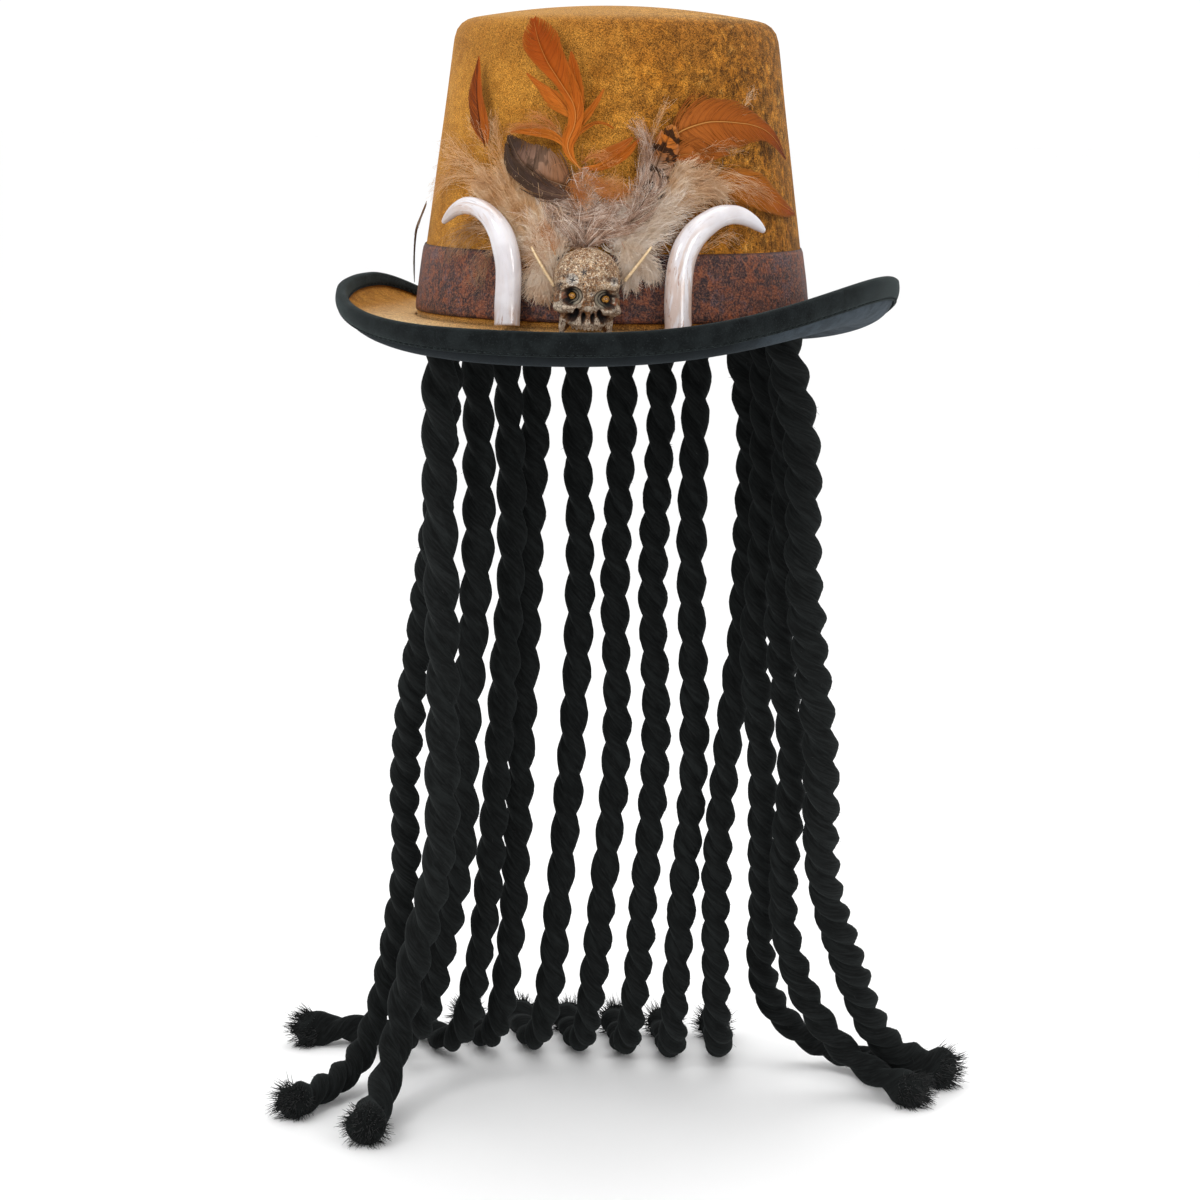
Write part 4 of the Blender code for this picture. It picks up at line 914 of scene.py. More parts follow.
def makeTube(name, centres, radii, facing, finish, flat=0.0, blunt=0.6):
    # a round rod along its rings, eased flat on the side that it faces, with its two ends rounded over
    run = unit(np.gradient(centres, axis=0))
    face = unit(facing - run * np.sum(facing * run, axis=-1, keepdims=True))
    edge = np.cross(run, face)
    turn = np.arange(horns["around"]) * 2 * math.pi / horns["around"]
    ahead = np.cos(turn)
    size = radii[:, None] * (1 - flat * np.clip(ahead, 0, 1)[None] ** 3)
    points = centres[:, None] + edge[:, None] * (np.sin(turn) * size)[..., None] \
        + face[:, None] * (ahead * size)[..., None]
    lip, step = (np.array(horns[key])[:, None, None] for key in ("lip", "lipStep"))
    first = centres[0] + (points[0] - centres[0]) * lip - run[0] * radii[0] * blunt * step
    last = centres[-1] + (points[-1] - centres[-1]) * lip + run[-1] * radii[-1] * horns["tipStep"] * step
    rings = np.concatenate([first[::-1], points, last])
    both, fans = poleFans(rings, len(rings), horns["around"])
    along = np.linspace(0, 1, len(rings))[:, None] + 0 * turn
    length = np.sum(np.linalg.norm(np.diff(centres, axis=0), axis=1))
    grain = np.stack([np.cos(turn)[None] * 7 + 0 * along, np.sin(turn)[None] * 7 + 0 * along,
                      along * length * 0.22], -1).reshape(-1, 3)
    marks = {"along": np.concatenate([along.ravel(), [0, 1]]), "grain": np.concatenate([grain, grain[:2]])}
    return makePiece(name, both, gridQuads(len(rings), horns["around"], closedColumns=True), finish,
                     tris=fans, marks=marks)


def makeHorns(ivories, straw):
    # each is a smooth line through its points; a quill is straight, and bowed a little off the crown
    for node, ivory in zip(("horn_left", "horn_right"), ivories):
        rows = np.array(horns[node])
        rows[:, 0] = np.radians(rows[:, 0])
        centres = onCrown(rows[:, 0], rows[:, 1], rows[:, 2])
        fine = smoothLine(np.concatenate([centres, rows[:, 3:], rows[:, :1]], axis=1), count=horns["rings"])
        piece = makeTube(node.replace("horn", "ivory_horn"), fine[:, :3], fine[:, 3], crownFacing(fine[:, 4]),
                         ivory, flat=0.07, blunt=0.05)
        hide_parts(node)
    for node in ("quill_left", "quill_right"):
        turn, height, off = np.linspace(*quills[node], quills["rings"]).T
        turn = np.radians(turn)
        off = off + quills["bow"] * np.sin(np.linspace(0, math.pi, quills["rings"]))
        radii = quills["radius"] * np.linspace(0.72, 1.0, quills["rings"])
        piece = makeTube(node.replace("quill", "clipped_quill"), onCrown(turn, height, off), radii,
                         crownFacing(turn), straw, flat=0.15, blunt=0.3)
        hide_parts(node)
    print("horns and quills")


# feathers and down
# rows along a shaft: angle from the front in degrees, height, stand-off, reach of the barbs to the left and
# to the right. leaves are the lobes and tongues that stand apart from the main vane, each with its own style
# and rows. A style says how many barbs each side has and where they start along the shaft (from, to), how far
# they sweep on to their tips and how much they stray (mess, wave, lift, droop), how far up they come loose,
# how round they arch, how many rings each has, the shaft's width, the span of the feather's colours that the
# barbs show, and what is added to their tone on the left and on the right
vane = {"from": 0.03, "to": 0.985, "sweep": 0.22, "mess": 0.03, "wave": 0.2, "width": 0.68,
        "lift": 0.35, "loose": 0.06, "rings": 7, "arch": 0.0, "droop": 0.0, "shaft": 0.7, "span": (0.0, 1.0),
        "sides": (0.0, 0.0)}
leaf = {**vane, "barbs": 70, "sweep": 0.42, "shaft": 0.22, "mess": 0.12, "rings": 6}
feathers = {
    "feather_orange_tall": {"slot": "orange_feather", "style": {"barbs": 210},
        "along": ((0.0, "#BA6C24"), (0.22, "#AE5C1A"), (0.5, "#A05012"), (0.75, "#96440C"), (1.0, "#8C3A08")),
        "edge": "#B0621E", "deep": "#743208", "quill": "#C07A3A",
        "rows": ((0.0, 76.0, 7.6, 0.6, 0.6), (-3.0, 81.5, 7.6, 2.0, 2.4), (-4.1, 88.0, 7.4, 3.0, 3.2),
                 (-2.3, 97.0, 7.2, 3.0, 3.0), (-3.0, 106.0, 7.0, 3.0, 4.0), (-7.7, 116.7, 6.6, 2.4, 7.0),
                 (-12.0, 125.5, 6.2, 4.6, 8.5), (-15.3, 134.5, 5.8, 7.6, 9.8), (-17.0, 141.0, 5.4, 6.0, 6.6),
                 (-18.4, 146.2, 5.0, 1.2, 1.2)),
        "leaves": (
            ({"barbs": 110, "span": (0.05, 0.38)}, ((-2.9, 98.4, 6.4, 4.6, 2.5), (-6.0, 105.0, 6.2, 5.6, 3.8),
             (-10.9, 111.8, 6.0, 4.0, 1.6), (-14.6, 115.6, 5.8, 2.0, 0.8), (-19.0, 120.0, 5.6, 0.3, 0.3))),
            ({"barbs": 100, "span": (0.2, 0.75)}, ((-1.7, 99.0, 6.8, 1.4, 1.4), (-1.6, 107.5, 6.6, 2.4, 2.2),
             (-2.6, 117.0, 6.4, 3.1, 2.6), (-4.0, 126.0, 6.2, 1.7, 1.7), (-4.6, 130.3, 6.0, 0.3, 0.3))),
            ({"span": (0.0, 0.4)}, ((-2.3, 90.6, 6.4, 0.8, 0.8), (-0.8, 96.5, 6.2, 1.8, 1.8),
             (3.6, 106.9, 5.8, 1.1, 1.1), (5.8, 113.1, 5.4, 0.2, 0.2))),
            ({"barbs": 40, "span": (0.1, 0.6)}, ((-2.2, 88.7, 6.8, 0.6, 0.6), (-0.7, 92.6, 6.8, 0.9, 0.9),
             (3.0, 97.2, 6.6, 0.7, 0.7), (6.3, 97.3, 6.2, 0.4, 0.4), (8.9, 95.1, 5.8, 0.2, 0.2))),
            ({"span": (0.0, 0.2)}, ((-4.0, 83.0, 7.4, 1.2, 1.2), (-5.6, 87.6, 7.2, 1.9, 1.9),
             (-9.1, 91.4, 7.0, 2.0, 2.0), (-15.0, 92.8, 6.6, 1.6, 1.6), (-22.8, 92.8, 6.0, 0.3, 0.3))),
            ({"span": (0.0, 0.4)}, ((-0.4, 76.7, 6.0, 0.8, 0.8), (5.8, 77.4, 6.0, 1.3, 1.5),
             (12.3, 83.5, 5.6, 1.7, 2.0), (16.6, 90.7, 5.0, 0.3, 0.3))))},
    "feather_maroon": {"slot": "maroon_feather", "style": {"barbs": 150, "sweep": 0.3, "sides": (-0.36, 0.3)},
        "along": ((0.0, "#A85A1C"), (0.3, "#9E4E14"), (0.65, "#92420E"), (0.85, "#98440A"), (1.0, "#A04A0A")),
        "edge": "#A2581C", "deep": "#4A2110", "quill": "#4A2414",
        "rows": ((-31.8, 85.5, 6.0, 1.2, 1.2), (-33.6, 91.5, 6.0, 3.2, 3.0), (-36.3, 101.6, 5.8, 4.6, 4.4),
                 (-38.4, 112.0, 5.4, 4.8, 3.8), (-39.3, 121.0, 5.0, 2.4, 2.2), (-39.9, 128.0, 4.6, 0.3, 0.3)),
        "leaves": (
            ({"barbs": 60, "span": (0.0, 0.3), "sides": (0.2, 0.2)}, ((-30.8, 86.0, 6.6, 1.0, 1.0),
             (-32.3, 96.0, 6.4, 2.4, 2.2), (-35.1, 108.2, 6.0, 0.4, 0.4))),)},
    "feather_barred_left": {"slot": "brown_feather", "style": {"barbs": 170, "sweep": 0.26, "loose": 0.04,
            "width": 0.75, "mess": 0.07, "sides": (-0.3, 0.1), "shaft": 0.4}, "gloss": 0.2,
        "along": ((0.0, "#A8602A"), (0.12, "#70462A"), (0.3, "#82583A"), (0.5, "#8A6A56"), (0.7, "#6E5040"),
                  (0.82, "#3E2A20"), (1.0, "#241610")),
        "edge": "#6E4A30", "deep": "#2E1D12", "quill": "#8A6C52", "bars": (2.3, "#36220F", 0.6, 0.6),
        "rows": ((-1.5, 66.8, 6.4, 1.0, 1.0), (-4.6, 68.2, 6.4, 4.6, 5.0), (-9.9, 70.9, 6.2, 7.3, 11.5),
                 (-14.2, 73.8, 6.0, 7.4, 13.2), (-18.6, 79.4, 6.0, 6.9, 11.0), (-21.4, 85.6, 5.8, 5.0, 6.0),
                 (-23.6, 91.3, 5.6, 0.8, 0.8)),
        "leaves": (
            ({"barbs": 120, "span": (0.74, 0.95), "width": 0.6, "loose": 0.2}, ((-1.5, 65.1, 7.6, 0.8, 0.8),
             (-5.0, 63.8, 7.8, 2.2, 2.6), (-10.9, 66.0, 7.8, 3.0, 3.8), (-16.6, 71.1, 7.4, 3.0, 4.0),
             (-21.9, 78.0, 7.0, 2.4, 3.4), (-24.0, 87.5, 6.4, 0.6, 0.6))),)},
    "feather_barred_right": {"slot": "brown_feather", "style": {"barbs": 150, "sweep": 0.2, "loose": 0.2,
            "mess": 0.12, "wave": 0.6},
        "along": ((0.0, "#7E6A5C"), (0.3, "#947A6A"), (0.5, "#A48A76"), (0.62, "#7A5236"), (0.72, "#A4602A"),
                  (0.85, "#B0621F"), (1.0, "#B06E34")),
        "edge": "#A07050", "deep": "#40240E", "quill": "#4E3018", "bars": (4.5, "#1C100A", 0.92, 0.35),
        "rows": ((16.5, 57.0, 6.2, 2.6, 3.0), (18.9, 68.0, 6.2, 4.4, 5.0), (21.0, 77.0, 6.2, 5.6, 6.6),
                 (23.4, 86.0, 6.0, 5.2, 6.8), (25.6, 93.0, 5.8, 4.2, 4.6), (26.8, 97.0, 5.6, 1.0, 1.0))},
    "feather_orange_wide": {"slot": "orange_feather", "style": {"barbs": 230, "sweep": 0.2, "width": 0.7},
        "along": ((0.0, "#9E5A24"), (0.3, "#96501A"), (0.6, "#904A14"), (0.8, "#843E10"), (0.9, "#642C14"),
                  (1.0, "#54281C")),
        "edge": "#9A5822", "deep": "#70360E", "quill": "#BC8444",
        "rows": ((26.0, 90.5, 3.2, 2.4, 4.0), (30.5, 95.0, 3.6, 8.6, 12.5), (37.5, 98.3, 4.0, 11.2, 15.0),
                 (43.3, 98.9, 4.2, 10.4, 12.5), (49.5, 98.4, 4.4, 9.8, 11.4), (55.0, 97.6, 4.6, 6.8, 8.6),
                 (61.5, 95.0, 4.8, 4.0, 5.2), (67.0, 89.9, 5.0, 3.0, 3.6), (72.8, 81.0, 5.0, 0.5, 0.5)),
        "leaves": (
            ({"barbs": 110, "span": (0.0, 0.3)}, ((24.6, 80.0, 3.0, 3.0, 2.0), (29.0, 83.0, 3.2, 7.0, 4.0),
             (35.0, 84.0, 3.4, 7.0, 5.0), (41.0, 84.5, 3.6, 4.0, 3.0), (46.0, 84.0, 3.6, 0.4, 0.4))),)},
    "feather_orange_low": {"slot": "orange_feather", "style": {"barbs": 170, "sweep": 0.24, "loose": 0.12,
            "mess": 0.08},
        "along": ((0.0, "#BE7E3A"), (0.35, "#A6601C"), (0.7, "#9A5214"), (0.9, "#883E12"), (1.0, "#723012")),
        "edge": "#A26826", "deep": "#7A4010", "quill": "#C4843C",
        "rows": ((37.0, 69.0, 1.6, 2.0, 4.0), (45.3, 71.2, 1.8, 3.4, 7.5), (53.3, 69.4, 2.0, 6.0, 9.5),
                 (58.8, 66.2, 2.2, 8.0, 9.5), (64.5, 62.6, 2.4, 5.6, 7.6), (72.5, 57.8, 2.6, 3.2, 4.6),
                 (80.0, 54.6, 2.8, 0.5, 0.5))},
    "feather_orange_curl": {"slot": "orange_feather", "style": {"barbs": 60, "sweep": 0.4, "mess": 0.15},
        "along": ((0.0, "#B56C2A"), (0.5, "#A85A20"), (1.0, "#9C4E18")), "edge": "#B06A30", "deep": "#7C3C12",
        "quill": "#B06A30",
        "rows": ((3.5, 79.0, 5.4, 1.5, 1.5), (7.0, 83.0, 5.4, 2.6, 2.6), (11.0, 86.5, 5.4, 2.2, 2.2),
                 (14.5, 91.0, 5.4, 0.5, 0.5))},
    "feather_brown_hanging": {"slot": "brown_feather", "style": {"barbs": 110, "sweep": 0.3, "loose": 0.1},
        "along": ((0.0, "#8A6A4C"), (0.4, "#6E523C"), (0.8, "#4C3828"), (1.0, "#2A1F18")),
        "edge": "#84684E", "deep": "#3E2C20", "quill": "#94785C",
        "rows": ((-66.0, 58.0, 3.8, 0.9, 0.9), (-70.0, 50.0, 4.9, 1.4, 1.4), (-72.6, 42.5, 5.5, 1.7, 1.7),
                 (-74.0, 33.0, 5.0, 1.4, 1.4), (-74.0, 25.0, 4.1, 1.4, 1.4), (-73.2, 17.5, 3.2, 0.6, 0.6))},
}
fluff = {"from": 0.0, "to": 0.8, "sweep": 0.46, "mess": 0.34, "wave": 1.4, "width": 0.18, "lift": 2.8,
         "loose": 1.0, "rings": 5, "arch": 0.6, "droop": 1.2, "shaft": 0.3, "span": (0.0, 1.0),
         "sides": (0.0, 0.0)}
# under each full plume lie broader strands, closer to the crown, and over it a few long pale ones
bed = {"share": 0.16, "lower": 0.9, "least": 100, "style": {"width": 1.3, "wave": 0.9, "lift": 0.5}}
guard = {"share": 0.10, "wider": 1.35, "least": 3,
         "style": {"width": 0.32, "wave": 2.0, "lift": 4.0, "sweep": 0.66, "sides": (0.3, 0.3)}}
# sparse plumes whose strands run along the line, and tight curls
wisp = {"width": 0.16, "sweep": 0.8, "mess": 0.4, "wave": 2.4, "lift": 2.2, "arch": 0.2}
curl = {"width": 0.30, "sweep": 1.1, "mess": 0.15, "wave": 0.7, "lift": 0.8, "arch": 0.0, "to": 0.5}
# lines of down: points of (angle, height, stand-off), the reach of its strands, how many each side has, and
# for a wisp or a curl its style; colours are the usual two, the palest and the darkest
down = {
    "down_left": {"slot": "tan_down", "colours": ("#BE8448", "#DDB080", "#EFD2AC", "#A0662E"), "plumes": (
        (((-9.9, 24.8, 2.8), (-16.2, 42.1, 3.6), (-26.6, 62.6, 3.8), (-38.0, 74.0, 3.4)), 8.5, 280),
        (((-10.9, 29.9, 2.8), (-16.5, 48.6, 3.6), (-22.5, 66.0, 3.8), (-28.0, 80.0, 3.6)), 8, 250),
        (((-12.4, 27.9, 2.8), (-20.8, 45.8, 3.6), (-30.0, 58.0, 3.8), (-39.0, 65.0, 3.6)), 8, 220),
        (((-9.4, 34.6, 2.8), (-12.7, 49.5, 3.6), (-16.1, 61.8, 3.8), (-20.4, 70.1, 3.2)), 8, 190),
        (((-23.7, 63.6, 3.6), (-34.7, 70.3, 4.2), (-46.2, 71.0, 4.2), (-56.5, 66.3, 3.6), (-62.0, 60.5, 3.0)),
         4, 40, wisp),
        (((-26.6, 65.9, 3.6), (-37.7, 77.4, 4.2), (-48.7, 85.6, 4.0), (-59.8, 89.0, 3.4)), 5, 26, wisp),
        (((-27.8, 70.6, 3.8), (-40.0, 77.4, 4.4), (-58.3, 80.4, 3.6)), 6.5, 34, wisp),
        (((-24.1, 70.8, 3.8), (-29.3, 82.5, 4.6), (-35.7, 92.0, 4.2), (-41.8, 101.5, 3.4)), 4.5, 36, wisp),
        (((-23.3, 72.0, 3.8), (-26.5, 83.8, 4.6), (-29.9, 94.5, 4.2), (-32.0, 101.7, 3.4)), 4, 44, wisp))},
    "down_centre_left": {"slot": "cream_down", "colours": ("#E4BE9A", "#F2D9BE", "#FAEBD8", "#CC8E54"),
        "plumes": (
        (((-6.7, 25.6, 2.8), (-9.4, 39.8, 3.6), (-11.9, 52.8, 3.8), (-14.6, 61.8, 3.2)), 8.5, 230),
        (((-9.2, 30.0, 2.8), (-13.6, 39.6, 3.4), (-16.5, 47.3, 3.4)), 6, 130),
        (((-5.4, 33.5, 2.8), (-5.9, 43.3, 3.6), (-7.4, 53.0, 3.8), (-10.1, 58.1, 3.2)), 6.5, 160),
        (((-10.5, 38.0, 3.2), (-11.6, 27.0, 3.0), (-12.8, 14.0, 2.6)), 5.5, 170),
        (((-8.6, 36.0, 3.0), (-8.9, 24.5, 2.8), (-9.3, 13.0, 2.6)), 5, 150),
        (((-9.2, 40.5, 3.2), (-9.5, 28.6, 3.0), (-9.9, 16.0, 2.8)), 5, 110),
        (((-12.5, 34.0, 3.0), (-14.4, 26.0, 2.8), (-15.0, 18.0, 2.4)), 3.5, 70))},
    "down_centre": {"slot": "cream_down", "colours": ("#94705A", "#C09A80", "#EEDFD2", "#503A2C"),
        "style": {"wave": 1.8, "mess": 0.4, "width": 0.22, "uneven": 0.9}, "plumes": (
        (((-0.4, 38.9, 3.2), (-1.7, 49.3, 4.2), (-5.0, 58.3, 4.4), (-9.2, 61.0, 4.0)), 7, 130),
        (((1.5, 39.0, 3.2), (1.8, 50.8, 4.4), (4.3, 59.9, 4.6), (6.9, 65.0, 4.0)), 7, 120),
        (((2.3, 39.7, 3.2), (5.6, 48.3, 4.4), (9.7, 54.9, 4.6), (13.6, 60.1, 4.0)), 7, 120),
        (((0.2, 53.3, 4.2), (0.4, 62.4, 4.6), (1.1, 71.5, 4.6), (2.9, 77.4, 4.2)), 6, 70),
        (((-14.1, 64.1, 5.4), (-7.8, 56.0, 6.0), (-1.9, 48.0, 5.8), (1.0, 39.8, 4.6)), 4.5, 70, curl),
        (((-14.9, 71.2, 6.2), (-10.7, 64.2, 6.8), (-4.9, 60.9, 6.6), (0.7, 59.9, 6.0)), 3, 34, curl),
        (((-4.9, 54.9, 5.4), (0.8, 54.0, 6.4), (6.3, 56.5, 6.4), (11.1, 60.2, 6.0)), 3, 26, curl),
        (((0.9, 39.7, 4.6), (4.3, 48.2, 6.0), (7.6, 57.7, 6.4), (8.9, 66.0, 6.0)), 4, 44, curl),
        (((2.3, 39.8, 4.6), (9.1, 48.3, 6.0), (15.2, 53.2, 6.4), (20.9, 62.7, 6.0)), 4.5, 60, curl),
        (((12.4, 50.0, 5.0), (17.0, 60.5, 6.0), (20.2, 70.5, 5.8)), 5, 90),
        (((5.0, 49.4, 5.4), (7.3, 57.7, 6.6), (11.0, 61.4, 7.0), (14.2, 57.9, 7.0), (13.1, 53.2, 6.8),
          (9.8, 50.7, 6.4)), 1.2, 16, curl),
        (((1.6, 44.5, 5.4), (4.9, 52.9, 6.6), (9.0, 54.2, 6.8), (11.1, 49.6, 6.4)), 1.4, 14, curl),
        (((16.0, 60.3, 5.4), (20.2, 65.1, 6.6), (22.3, 72.2, 6.8), (21.0, 79.3, 6.2)), 2.5, 26, curl),
        (((13.5, 54.0, 6.6), (16.0, 66.0, 6.8), (18.6, 80.0, 6.6), (18.0, 92.0, 5.6), (14.2, 100.9, 4.2)),
         3, 80, wisp))},
    "down_right": {"slot": "cream_down", "colours": ("#D8BC9E", "#E8D4BE", "#F5EAE0", "#B0845C"), "plumes": (
        (((8.9, 36.7, 2.8), (14.7, 48.1, 3.6), (21.0, 59.5, 3.8), (26.5, 68.0, 3.2)), 9.5, 250),
        (((12.2, 33.0, 2.8), (18.4, 44.0, 3.6), (25.0, 56.0, 3.8), (32.5, 66.4, 3.2)), 8, 200),
        (((8.2, 40.0, 2.8), (12.1, 51.1, 3.6), (16.1, 61.2, 3.8), (19.0, 67.0, 3.2)), 7, 150),
        (((11.5, 44.7, 3.2), (15.0, 36.0, 3.0), (17.6, 24.0, 2.8)), 6.5, 190),
        (((11.9, 44.4, 3.2), (13.4, 31.8, 3.0), (14.4, 18.8, 2.6)), 5, 170),
        (((15.4, 42.5, 3.2), (18.9, 33.1, 3.0), (21.4, 23.5, 2.8)), 5, 140))},
    "down_right_wisps": {"slot": "tan_down", "colours": ("#C8986C", "#DCB68E", "#EED8BE", "#A8703E"),
        "plumes": (
        (((34.0, 79.4, 3.2), (43.4, 75.9, 3.8), (53.4, 71.1, 3.8), (65.9, 61.1, 3.4)), 4, 22, wisp),
        (((33.2, 82.9, 3.2), (41.0, 86.6, 3.8), (51.4, 89.1, 3.4)), 4, 22, wisp),
        (((32.8, 65.1, 3.2), (41.3, 69.9, 3.8), (49.9, 67.5, 3.8), (57.7, 61.3, 3.4)), 4.5, 22, wisp),
        (((24.0, 66.3, 2.8), (31.0, 70.6, 3.2), (38.9, 71.2, 3.4), (45.0, 67.0, 3.2)), 6, 70),
        (((27.2, 70.1, 2.8), (34.4, 74.5, 3.0), (40.4, 78.0, 3.0)), 5, 50),
        (((31.3, 35.4, 3.2), (37.7, 42.5, 3.8), (43.5, 46.0, 3.8), (48.2, 42.3, 3.4)), 3.5, 16, wisp),
        (((18.9, 83.9, 4.4), (20.8, 93.4, 5.0), (23.6, 102.9, 4.6), (25.9, 111.2, 3.6)), 1.6, 12, wisp),
        (((19.0, 48.4, 3.0), (25.6, 60.4, 3.4), (32.8, 69.9, 3.4), (41.7, 73.5, 3.0)), 7.5, 130),
        (((23.4, 53.2, 2.8), (31.1, 61.6, 3.2), (38.7, 66.3, 3.2), (47.2, 65.1, 2.8)), 6.5, 110),
        (((21.2, 57.9, 3.2), (25.7, 68.6, 3.6), (29.7, 75.8, 3.6), (35.7, 79.4, 3.2)), 6.5, 120),
        (((24.9, 65.1, 3.4), (27.3, 72.2, 3.8), (29.9, 81.7, 3.4)), 5, 60),
        (((51.6, 103.0, 3.8), (55.2, 109.5, 3.4), (58.7, 115.4, 2.8)), 1.8, 9, wisp))},
    "down_left_wisps": {"slot": "tan_down", "colours": ("#8E6A4C", "#B08A66", "#D0B090", "#64452E"),
        "plumes": (
        (((-22.9, 51.7, 4.0), (-30.2, 46.5, 5.0), (-37.4, 41.2, 4.4), (-44.1, 32.1, 3.2)), 8, 30, wisp),
        (((-24.0, 40.9, 4.0), (-28.6, 32.2, 4.4), (-33.1, 18.7, 3.2)), 7, 30, wisp),
        (((-25.4, 49.2, 4.0), (-35.5, 47.4, 4.8), (-43.5, 39.5, 4.2), (-46.9, 28.9, 3.2)), 6.5, 24, wisp))},
    "down_orange_wisps": {"slot": "orange_feather", "colours": ("#C07028", "#D48C48", "#E8BA82", "#A85E1C"),
        "plumes": (
        (((-5.9, 89.8, 4.4), (-8.6, 94.9, 4.4), (-12.4, 99.0, 4.2), (-18.1, 101.5, 3.8)), 3.5, 40, wisp),
        (((-8.0, 92.7, 5.0), (-12.0, 95.2, 5.0), (-17.5, 95.5, 4.6), (-24.8, 93.9, 4.2)), 2.5, 50, wisp),
        (((0.5, 75.1, 5.4), (-1.9, 70.5, 5.8), (-0.6, 64.7, 6.0), (2.9, 61.2, 5.6)), 4.5, 80, wisp),
        (((-0.1, 76.4, 5.4), (3.1, 70.6, 6.0), (7.6, 68.8, 6.0), (11.8, 72.1, 5.4)), 5, 90, wisp),
        (((1.0, 72.0, 5.4), (5.0, 66.0, 6.0), (10.0, 65.0, 6.0), (15.5, 69.0, 5.4)), 4, 50, wisp),
        (((-6.5, 36.0, 5.4), (-9.0, 46.0, 5.8), (-10.8, 53.0, 5.6)), 4.5, 20, wisp),
        (((-0.1, 78.4, 5.2), (2.1, 82.0, 5.4), (6.0, 82.8, 5.2), (9.8, 78.1, 4.6)), 3, 40))},
}


meanRadius, shaftSteps = 92.0, 240
# what all barbs share: how unevenly they start, over what stretch of the shaft they come loose, their least
# sweep, how much shorter and how much less even loose ones are, how many waves each has, its thickness, its
# gap to what lies under it and its least stand-off; the same for the shaft: its end, rings and stand-off
growth = {"jitter": 0.3, "loosening": 0.12, "leastSweep": 0.012, "shorter": 0.4, "uneven": (0.03, 0.28),
          "waves": (0.4, 1.3), "thick": 0.12, "gap": 0.25, "leastOff": 0.9,
          "shaftEnd": 0.97, "shaftRings": 40, "shaftOff": 0.7}


def growBarbs(rows, style, seed):
    # a barb leaves the shaft at start and ends on the outline at tip, both from 0 to 1 along the shaft. In a
    # closed vane it bends forwards; in down (arch 1) it follows the shaft, then arches outwards and droops.
    # It waves as a sine along itself, and its place on the crown is worked out last, from angle and height
    own = np.random.default_rng(seed)
    table = np.array(rows, dtype=float)
    table[:, 0] = np.radians(table[:, 0]) * meanRadius  # even steps need a length there
    fine = smoothLine(table, count=shaftSteps)
    fine[:, 0] /= meanRadius
    fine[:, 3:] = np.maximum(fine[:, 3:], 0.15)
    radius = sum(wallRadii(fine[:, 1])) / 2
    step = np.hypot(np.gradient(fine[:, 0]) * radius, np.gradient(fine[:, 1]))
    runX, runZ = np.gradient(fine[:, 0]) * radius / step, np.gradient(fine[:, 1]) / step
    place = np.linspace(0, 1, shaftSteps)

    def read(values, at):  # a value along the shaft
        return np.interp(at, place, values)

    count, k = style["barbs"], style["rings"]
    side = np.repeat([-1.0, 1.0], count)
    start = np.tile(np.linspace(style["from"], style["to"], count), 2)
    start = np.clip(start + own.normal(0, growth["jitter"] / count, 2 * count), 0, 0.995)
    loose = np.clip((style["loose"] - start) / growth["loosening"] + 0.5, 0, 1)
    messy = style["mess"] * (1 + loose)
    sweep = style["sweep"] * np.sqrt(1 - start) * (1 + own.normal(0, 1, 2 * count) * messy)
    short = own.uniform(0, growth["shorter"], 2 * count) * loose * (1 - start)
    tip = np.clip(start + np.maximum(sweep, growth["leastSweep"]), 0, 1 - short)
    reach = np.where(side < 0, read(fine[:, 3], tip), read(fine[:, 4], tip))
    closed, more = growth["uneven"]
    reach = reach * np.exp(own.normal(0, 1, 2 * count) * (closed + more * loose))
    u = np.linspace(0, 1, k)[None]
    arch = style["arch"]
    at = start[:, None] + (tip - start)[:, None] * ((1 - arch) * u**1.25 + arch * (1 - (1 - u) ** 1.7))
    beside = side[:, None] * reach[:, None] * ((1 - arch) * (1 - (1 - u) ** 1.35) + arch * u**1.6)
    phase, turns = own.uniform(0, fullTurn, (3, 2 * count)), own.uniform(*growth["waves"], 2 * count)
    swing = style["wave"] * (0.2 + loose)[:, None] * u
    forward = swing * np.sin(fullTurn * turns[:, None] * u + phase[0][:, None])
    beside = beside + swing * 0.8 * np.sin(fullTurn * turns[:, None] * u + phase[2][:, None])
    rise = np.abs(swing) * np.sin(fullTurn * turns[:, None] * u + phase[1][:, None]) * 0.6
    lift = style["lift"] * (0.25 + own.uniform(0, 1, 2 * count))[:, None] * u * (0.35 + 0.65 * loose)[:, None]
    cup = 0.9 * (beside / np.maximum(np.max(fine[:, 3:]), 1.0)) ** 2 * (1 - loose)[:, None]
    wallR = read(radius, at)
    turn = read(fine[:, 0], at) + (read(runZ, at) * beside + read(runX, at) * forward) / wallR
    height = read(fine[:, 1], at) - read(runX, at) * beside + read(runZ, at) * forward
    height = height - style["droop"] * own.uniform(0.2, 1.6, 2 * count)[:, None] * u**2
    off = np.maximum(read(fine[:, 2], at) + lift + rise + cup + growth["gap"], growth["leastOff"])
    width = style["width"] * (1 - 0.62 * u) * np.where(loose > 0.5, 0.8, 1.0)[:, None]
    tone = np.clip(own.normal(0.5, 0.2, 2 * count) + np.where(side < 0, *style["sides"]), 0, 1)
    low, high = style["span"]
    barbs = strands(onCrown(turn, height, off), crownFacing(turn), width, growth["thick"],
                    low + (high - low) * at, u, tone)
    along = np.linspace(0, growth["shaftEnd"], growth["shaftRings"])
    shaftOff = read(fine[:, 2], along) + growth["shaftOff"]
    size = style["shaft"] * (1 - 0.8 * along)[None]
    shaft = strands(onCrown(read(fine[:, 0], along), read(fine[:, 1], along), shaftOff)[None],
                    crownFacing(read(fine[:, 0], along))[None], size, size * 0.8,
                    low + (high - low) * along[None], -0.2, [0.5])
    return [barbs, shaft]


